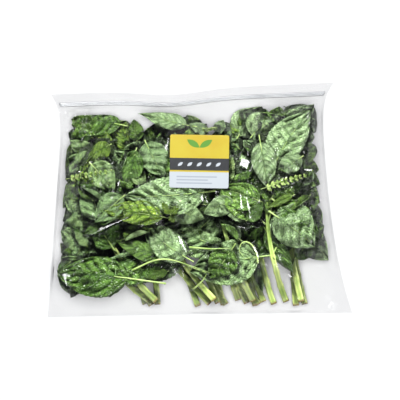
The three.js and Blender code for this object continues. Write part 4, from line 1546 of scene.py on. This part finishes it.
def ripple_field(x, y):
    waves = np.zeros_like(x)
    for corner_x, corner_y in BAG_CORNERS:
        away = np.hypot(x - corner_x, y - corner_y)
        round_corner = np.arctan2(y - corner_y, x - corner_x)
        sway = RIPPLE_SWAY * np.sin(RIPPLE_SWAYS * round_corner)
        waves += RIPPLE * np.exp(-away / RIPPLE_REACH) * np.sin(RIPPLES * round_corner + sway)
    return waves


creases = np.where(held, 0, 1) * crease_field(film_x, film_y)
ripples = np.where(on_seal | on_label, 0, 1) * RIPPLE_SHARE * ripple_field(film_x, film_y)
film_z = film_z + creases + ripples
print("highest crease", round(float(creases.max()), 1))

# %% Facets in the film
FACETS = (
    (57, 47, 7.5, 7, -19, RIGHT_STRIP),
    (140, 39, 7.5, 3, 0, RIGHT_STRIP),
    (-23, -56, 14, 3.4, -63, LEFT_STRIP),
    (52, -1, 12, 2.4, -84, RIGHT_STRIP),
    (62, -10, 16, 2.6, -80, RIGHT_STRIP),
    (3, 1, 6, 2.6, -80, LEFT_STRIP),
    (73, -69, 12, 2.6, -70, RIGHT_STRIP),
    (117, -99, 5, 3, -45, RIGHT_STRIP),
    (-117, -34, 30, 2.2, 25, LEFT_STRIP),
    (41, 56, 5, 2, 30, LEFT_STRIP),
    (-174, -104, 10, 3, -75, LEFT_STRIP),
)
FACET_RIM, FACET_LIFT, FACET_HEIGHT = 2.0, 1.5, 0.06


def facet_slope(x, y, strip):
    point = Vector((x * MM, y * MM, FACET_HEIGHT))
    halfway = (Vector(strip) - point).normalized() + (camera.location - point).normalized()
    return -halfway.x / halfway.z, -halfway.y / halfway.z


def add_facets(x, y, z):
    for at_x, at_y, reach, width, turn, strip in FACETS:
        turn = math.radians(turn)
        lengthwise = (x - at_x) * math.cos(turn) + (y - at_y) * math.sin(turn)
        crosswise = (y - at_y) * math.cos(turn) - (x - at_x) * math.sin(turn)
        outside = np.maximum(np.abs(lengthwise) - reach, np.abs(crosswise) - width)
        share = np.clip(1 - outside / FACET_RIM, 0, 1)
        middle = np.argmin((x - at_x) ** 2 + (y - at_y) ** 2)
        slope_x, slope_y = facet_slope(at_x, at_y, strip)
        plane = z.ravel()[middle] + FACET_LIFT + slope_x * (x - at_x) + slope_y * (y - at_y)
        z = lerp(z, plane, eased(share))
    return z


film_z = np.where(held, film_z, add_facets(film_x, film_y, film_z))
print("facets", len(FACETS))

# %% The two sheets of film
FILM_THICKNESS = 0.2
BACK_COLUMNS, BACK_ROWS, BACK_HEIGHT = 60, 46, 0.35

front_film = add_grid(FILM_COLUMNS, FILM_ROWS)
set_points(front_film, np.stack((film_x.ravel(), film_y.ravel(), film_z.ravel()), axis=1) * MM)
back_film = add_grid(BACK_COLUMNS, BACK_ROWS)
flat = get_points(back_film)
back_x, back_y = bag_plan(flat[:, 0] + 0.5, flat[:, 1] + 0.5)
set_points(back_film, np.stack((back_x, back_y, np.full(len(flat), BACK_HEIGHT)), axis=1) * MM)
bag_film = join([front_film, back_film], "bag_film")
apply_modifier(bag_film, "SOLIDIFY", thickness=FILM_THICKNESS * MM, offset=0)
smooth(bag_film)
print("film faces", len(bag_film.data.polygons))

# %% [markdown]
# ## The film's finish
# Clear film hardly colours what lies under it. It is seen by what it mirrors, little when looked at square
# on and much more at a slant. So the shader is a smooth mirror that covers only a small share of each
# point, and that share grows with the slant. Rubbed places cover a little more. The back sheet lies under
# everything, so it is only a faint grey veil.

# %% Film
BACK_LIMIT = 0.55

film_skin, tree, shader = make_material("clear film")
place = object_place(tree)
slant = add_node(tree, "LayerWeight", {"Blend": 0.35}).outputs["Facing"]
drawn_out = add_node(tree, "Mapping", {"Vector": place, "Scale": (26, 9, 26), "Rotation": (0, 0, 0.3)})
streaks = noise(tree, drawn_out.outputs[0], 1.0, 4.0)
rubbed = ramp(tree, streaks, 0.55, 0.75)
cover = compute(tree, "MULTIPLY_ADD", compute(tree, "POWER", slant, 2.0), 0.07, 0.015)
finish = {
    "Base Color": (0.95, 0.96, 0.97, 1),
    "Metallic": 1.0,
    "Roughness": ramp(tree, streaks, 0.3, 0.8, 0.08, 0.22),
    "Alpha": compute(tree, "MULTIPLY_ADD", rubbed, 0.02, cover, clamp=True),
    "Normal": bump(tree, noise(tree, place, 160.0, 2.0), 0.06, 0.0006),
}
set_inputs(tree, shader, finish)

back_skin, tree, shader = make_material("back film")
cloud = noise(tree, object_place(tree), 14.0, 3.0)
veil = ramp(tree, cloud, 0.3, 0.7, 0.03, 0.05)
set_inputs(tree, shader, {"Base Color": (0.42, 0.44, 0.47, 1), "Roughness": 0.3, "Alpha": veil})

bag_film.data.materials.append(film_skin)
bag_film.data.materials.append(back_skin)
centres = np.empty(len(bag_film.data.polygons) * 3, np.float32)
bag_film.data.polygons.foreach_get("center", centres)
lying = centres.reshape(-1, 3)[:, 2] < BACK_LIMIT * MM
bag_film.data.polygons.foreach_set("material_index", lying.astype(np.int32))
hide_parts("bag")
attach(bag_film, "root")

light_link(film_boxes, [bag_film], "INCLUDE")
light_link([key_box, side_box, low_box], [bag_film, floor], "EXCLUDE")
print("faces of the back sheet", int(lying.sum()))

# %% [markdown]
# ## The zip
# A press-to-close zip is two ribbed strips, one welded inside each film. Each strip is a long grid carried
# along the mouth, raised in ribs that run its whole length, and given its thickness.

# %% Zip
ZIP_LOW = 1 - (ZIP_DROP + ZIP_WIDTH) / BAG_HEIGHT
ZIP_HIGH = 1 - ZIP_DROP / BAG_HEIGHT
ZIP_INSET = 0.012
ZIP_COLUMNS, ZIP_ROWS, ZIP_RIBS = 150, 24, 3
ZIP_LIFT, ZIP_RIB_HEIGHT, ZIP_RIB_FULLNESS, ZIP_THICKNESS = 0.2, 0.4, 0.6, 0.3

tracks = []
for node_name in ("zip_track_back", "zip_track_front"):
    low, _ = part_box(node_name)
    track = add_grid(ZIP_COLUMNS, ZIP_ROWS)
    flat = get_points(track)
    across = flat[:, 1] + 0.5
    x, y = bag_plan(lerp(ZIP_INSET, 1 - ZIP_INSET, flat[:, 0] + 0.5), lerp(ZIP_LOW, ZIP_HIGH, across))
    ribs = np.clip(np.sin(2 * np.pi * ZIP_RIBS * across), 0, 1) ** ZIP_RIB_FULLNESS
    z = low.z / MM + ZIP_LIFT + ZIP_RIB_HEIGHT * ribs
    set_points(track, np.stack((x, y, z), axis=1) * MM)
    apply_modifier(track, "SOLIDIFY", thickness=ZIP_THICKNESS * MM, offset=0)
    tracks.append(track)
zip_strips = join(tracks, "zip_strips")
smooth(zip_strips)
material, tree, shader = make_material("milky zip plastic")
cloud = noise(tree, object_place(tree), 40.0, 3.0)
milky = mix_colours(tree, cloud, (0.28, 0.29, 0.3, 1), (0.35, 0.36, 0.37, 1))
set_inputs(tree, shader, {"Base Color": milky, "Roughness": ramp(tree, cloud, 0.3, 0.7, 0.25, 0.4)})
zip_strips.data.materials.append(material)
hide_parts("zip_track_back", "zip_track_front")
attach(zip_strips, "root")
print("zip faces", len(zip_strips.data.polygons))

# %% [markdown]
# ## The label
# A paper sticker on the front film: a plane with rounded corners, a thin raised rim and its own thickness.
# Its print is plain: a yellow field with a leaf pair, a dark band with a row of small leaves, and a pale
# panel with a few rules, all drawn on its UV map.

# %% Label sheet
LABEL_WIDTH, LABEL_HEIGHT, LABEL_CORNER, LABEL_TURN = 76, 69, 2.5, -1
LABEL_THICKNESS, RIM_WIDTH, RIM_HEIGHT = 0.3, 0.8, 0.05

low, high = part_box("label")
deselect_all()
bpy.ops.mesh.primitive_plane_add(size=1, calc_uvs=True)
label = bpy.context.object
label.name = "label_sheet"
edit(label)
bpy.ops.mesh.select_all(action="SELECT")
bpy.ops.transform.resize(value=(LABEL_WIDTH * MM, LABEL_HEIGHT * MM, 1))
bpy.ops.mesh.bevel(affect="VERTICES", offset=LABEL_CORNER * MM, segments=5)
bpy.ops.mesh.select_all(action="SELECT")
bpy.ops.mesh.inset(thickness=RIM_WIDTH * MM, depth=RIM_HEIGHT * MM)
leave_edit()
label.data.transform(
    Matrix.Translation((low + high) / 2)
    @ Matrix.Rotation(math.atan(LABEL_SLOPE), 4, "X")
    @ Matrix.Rotation(math.radians(LABEL_TURN), 4, "Z")
)
apply_modifier(label, "SOLIDIFY", thickness=LABEL_THICKNESS * MM, offset=0)
print("label faces", len(label.data.polygons))

# %% Shapes for the print
material, tree, shader = make_material("printed label")
uv = add_node(tree, "SeparateXYZ", {0: add_node(tree, "UVMap").outputs[0]})
across, up = uv.outputs[0], uv.outputs[1]


def inside(low, value, high):
    above = compute(tree, "GREATER_THAN", value, low)
    return compute(tree, "MULTIPLY", above, compute(tree, "LESS_THAN", value, high))


def turned_by(turn, first, second):
    by_cosine = compute(tree, "MULTIPLY", first, math.cos(turn))
    return by_cosine, compute(tree, "MULTIPLY", second, math.sin(turn))


def leaf_shape(centre_x, centre_y, turn, length, width):
    dx = compute(tree, "SUBTRACT", across, centre_x)
    dy = compute(tree, "SUBTRACT", up, centre_y)
    forward = compute(tree, "ADD", *turned_by(turn, dx, dy))
    sideways = compute(tree, "SUBTRACT", *turned_by(turn, dy, dx))
    share = compute(tree, "DIVIDE", forward, length)
    narrowing = compute(tree, "SUBTRACT", 1.0, compute(tree, "MULTIPLY", share, share))
    room = compute(tree, "MULTIPLY", narrowing, width)
    return compute(tree, "LESS_THAN", compute(tree, "ABSOLUTE", sideways), room)


print("print shapes ready")

# %% Label print
YELLOW = (0.315, 0.255, 0.018, 1)
DEEP_YELLOW = (0.3, 0.22, 0.012, 1)
CHARCOAL = (0.015, 0.016, 0.018, 1)
PANEL_WHITE = (0.29, 0.315, 0.34, 1)
PRINT_GREEN = (0.055, 0.16, 0.016, 1)
RULE_GREY = (0.2, 0.22, 0.25, 1)
EMBLEM_X, EMBLEM_Y, EMBLEM_LENGTH, EMBLEM_WIDTH = 0.5, 0.76, 0.13, 0.055
EMBLEM_TURNS = (math.radians(35), math.radians(145))
PANEL_TOP = 0.3
BAND_LOW, BAND_HIGH = 0.33, 0.56
MOTIFS, MOTIF_START, MOTIF_STEP, MOTIF_Y = 5, 0.18, 0.16, 0.445
MOTIF_TURN, MOTIF_LENGTH, MOTIF_WIDTH = math.radians(40), 0.055, 0.026
RULES = ((0.21, 0.8), (0.15, 0.65), (0.09, 0.72))
RULE_LEFT, RULE_HALF_HEIGHT = 0.12, 0.012

glow = ramp(tree, noise(tree, object_place(tree), 30.0, 3.0), 0.35, 0.7)
ink = mix_colours(tree, glow, YELLOW, DEEP_YELLOW)
for turn in EMBLEM_TURNS:
    centre_x = EMBLEM_X + EMBLEM_LENGTH * math.cos(turn)
    centre_y = EMBLEM_Y + EMBLEM_LENGTH * math.sin(turn)
    emblem = leaf_shape(centre_x, centre_y, turn, EMBLEM_LENGTH, EMBLEM_WIDTH)
    ink = mix_colours(tree, emblem, ink, PRINT_GREEN)
ink = mix_colours(tree, inside(-1.0, up, PANEL_TOP), ink, PANEL_WHITE)
ink = mix_colours(tree, inside(BAND_LOW, up, BAND_HIGH), ink, CHARCOAL)
for spot in range(MOTIFS):
    centre_x = MOTIF_START + MOTIF_STEP * spot
    motif = leaf_shape(centre_x, MOTIF_Y, MOTIF_TURN, MOTIF_LENGTH, MOTIF_WIDTH)
    ink = mix_colours(tree, motif, ink, PANEL_WHITE)
for line, reach in RULES:
    on_line = inside(line - RULE_HALF_HEIGHT, up, line + RULE_HALF_HEIGHT)
    rule = compute(tree, "MULTIPLY", on_line, inside(RULE_LEFT, across, reach))
    ink = mix_colours(tree, rule, ink, RULE_GREY)
fibre = noise(tree, object_place(tree), 900.0, 2.0)
finish = {
    "Base Color": ink,
    "Roughness": ramp(tree, fibre, 0.3, 0.7, 0.3, 0.42),
    "Normal": bump(tree, fibre, 0.15, 0.0001),
}
set_inputs(tree, shader, finish)
label.data.materials.append(material)
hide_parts("label")
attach(label, "root")
print("shapes printed", len(EMBLEM_TURNS) + MOTIFS + len(RULES))
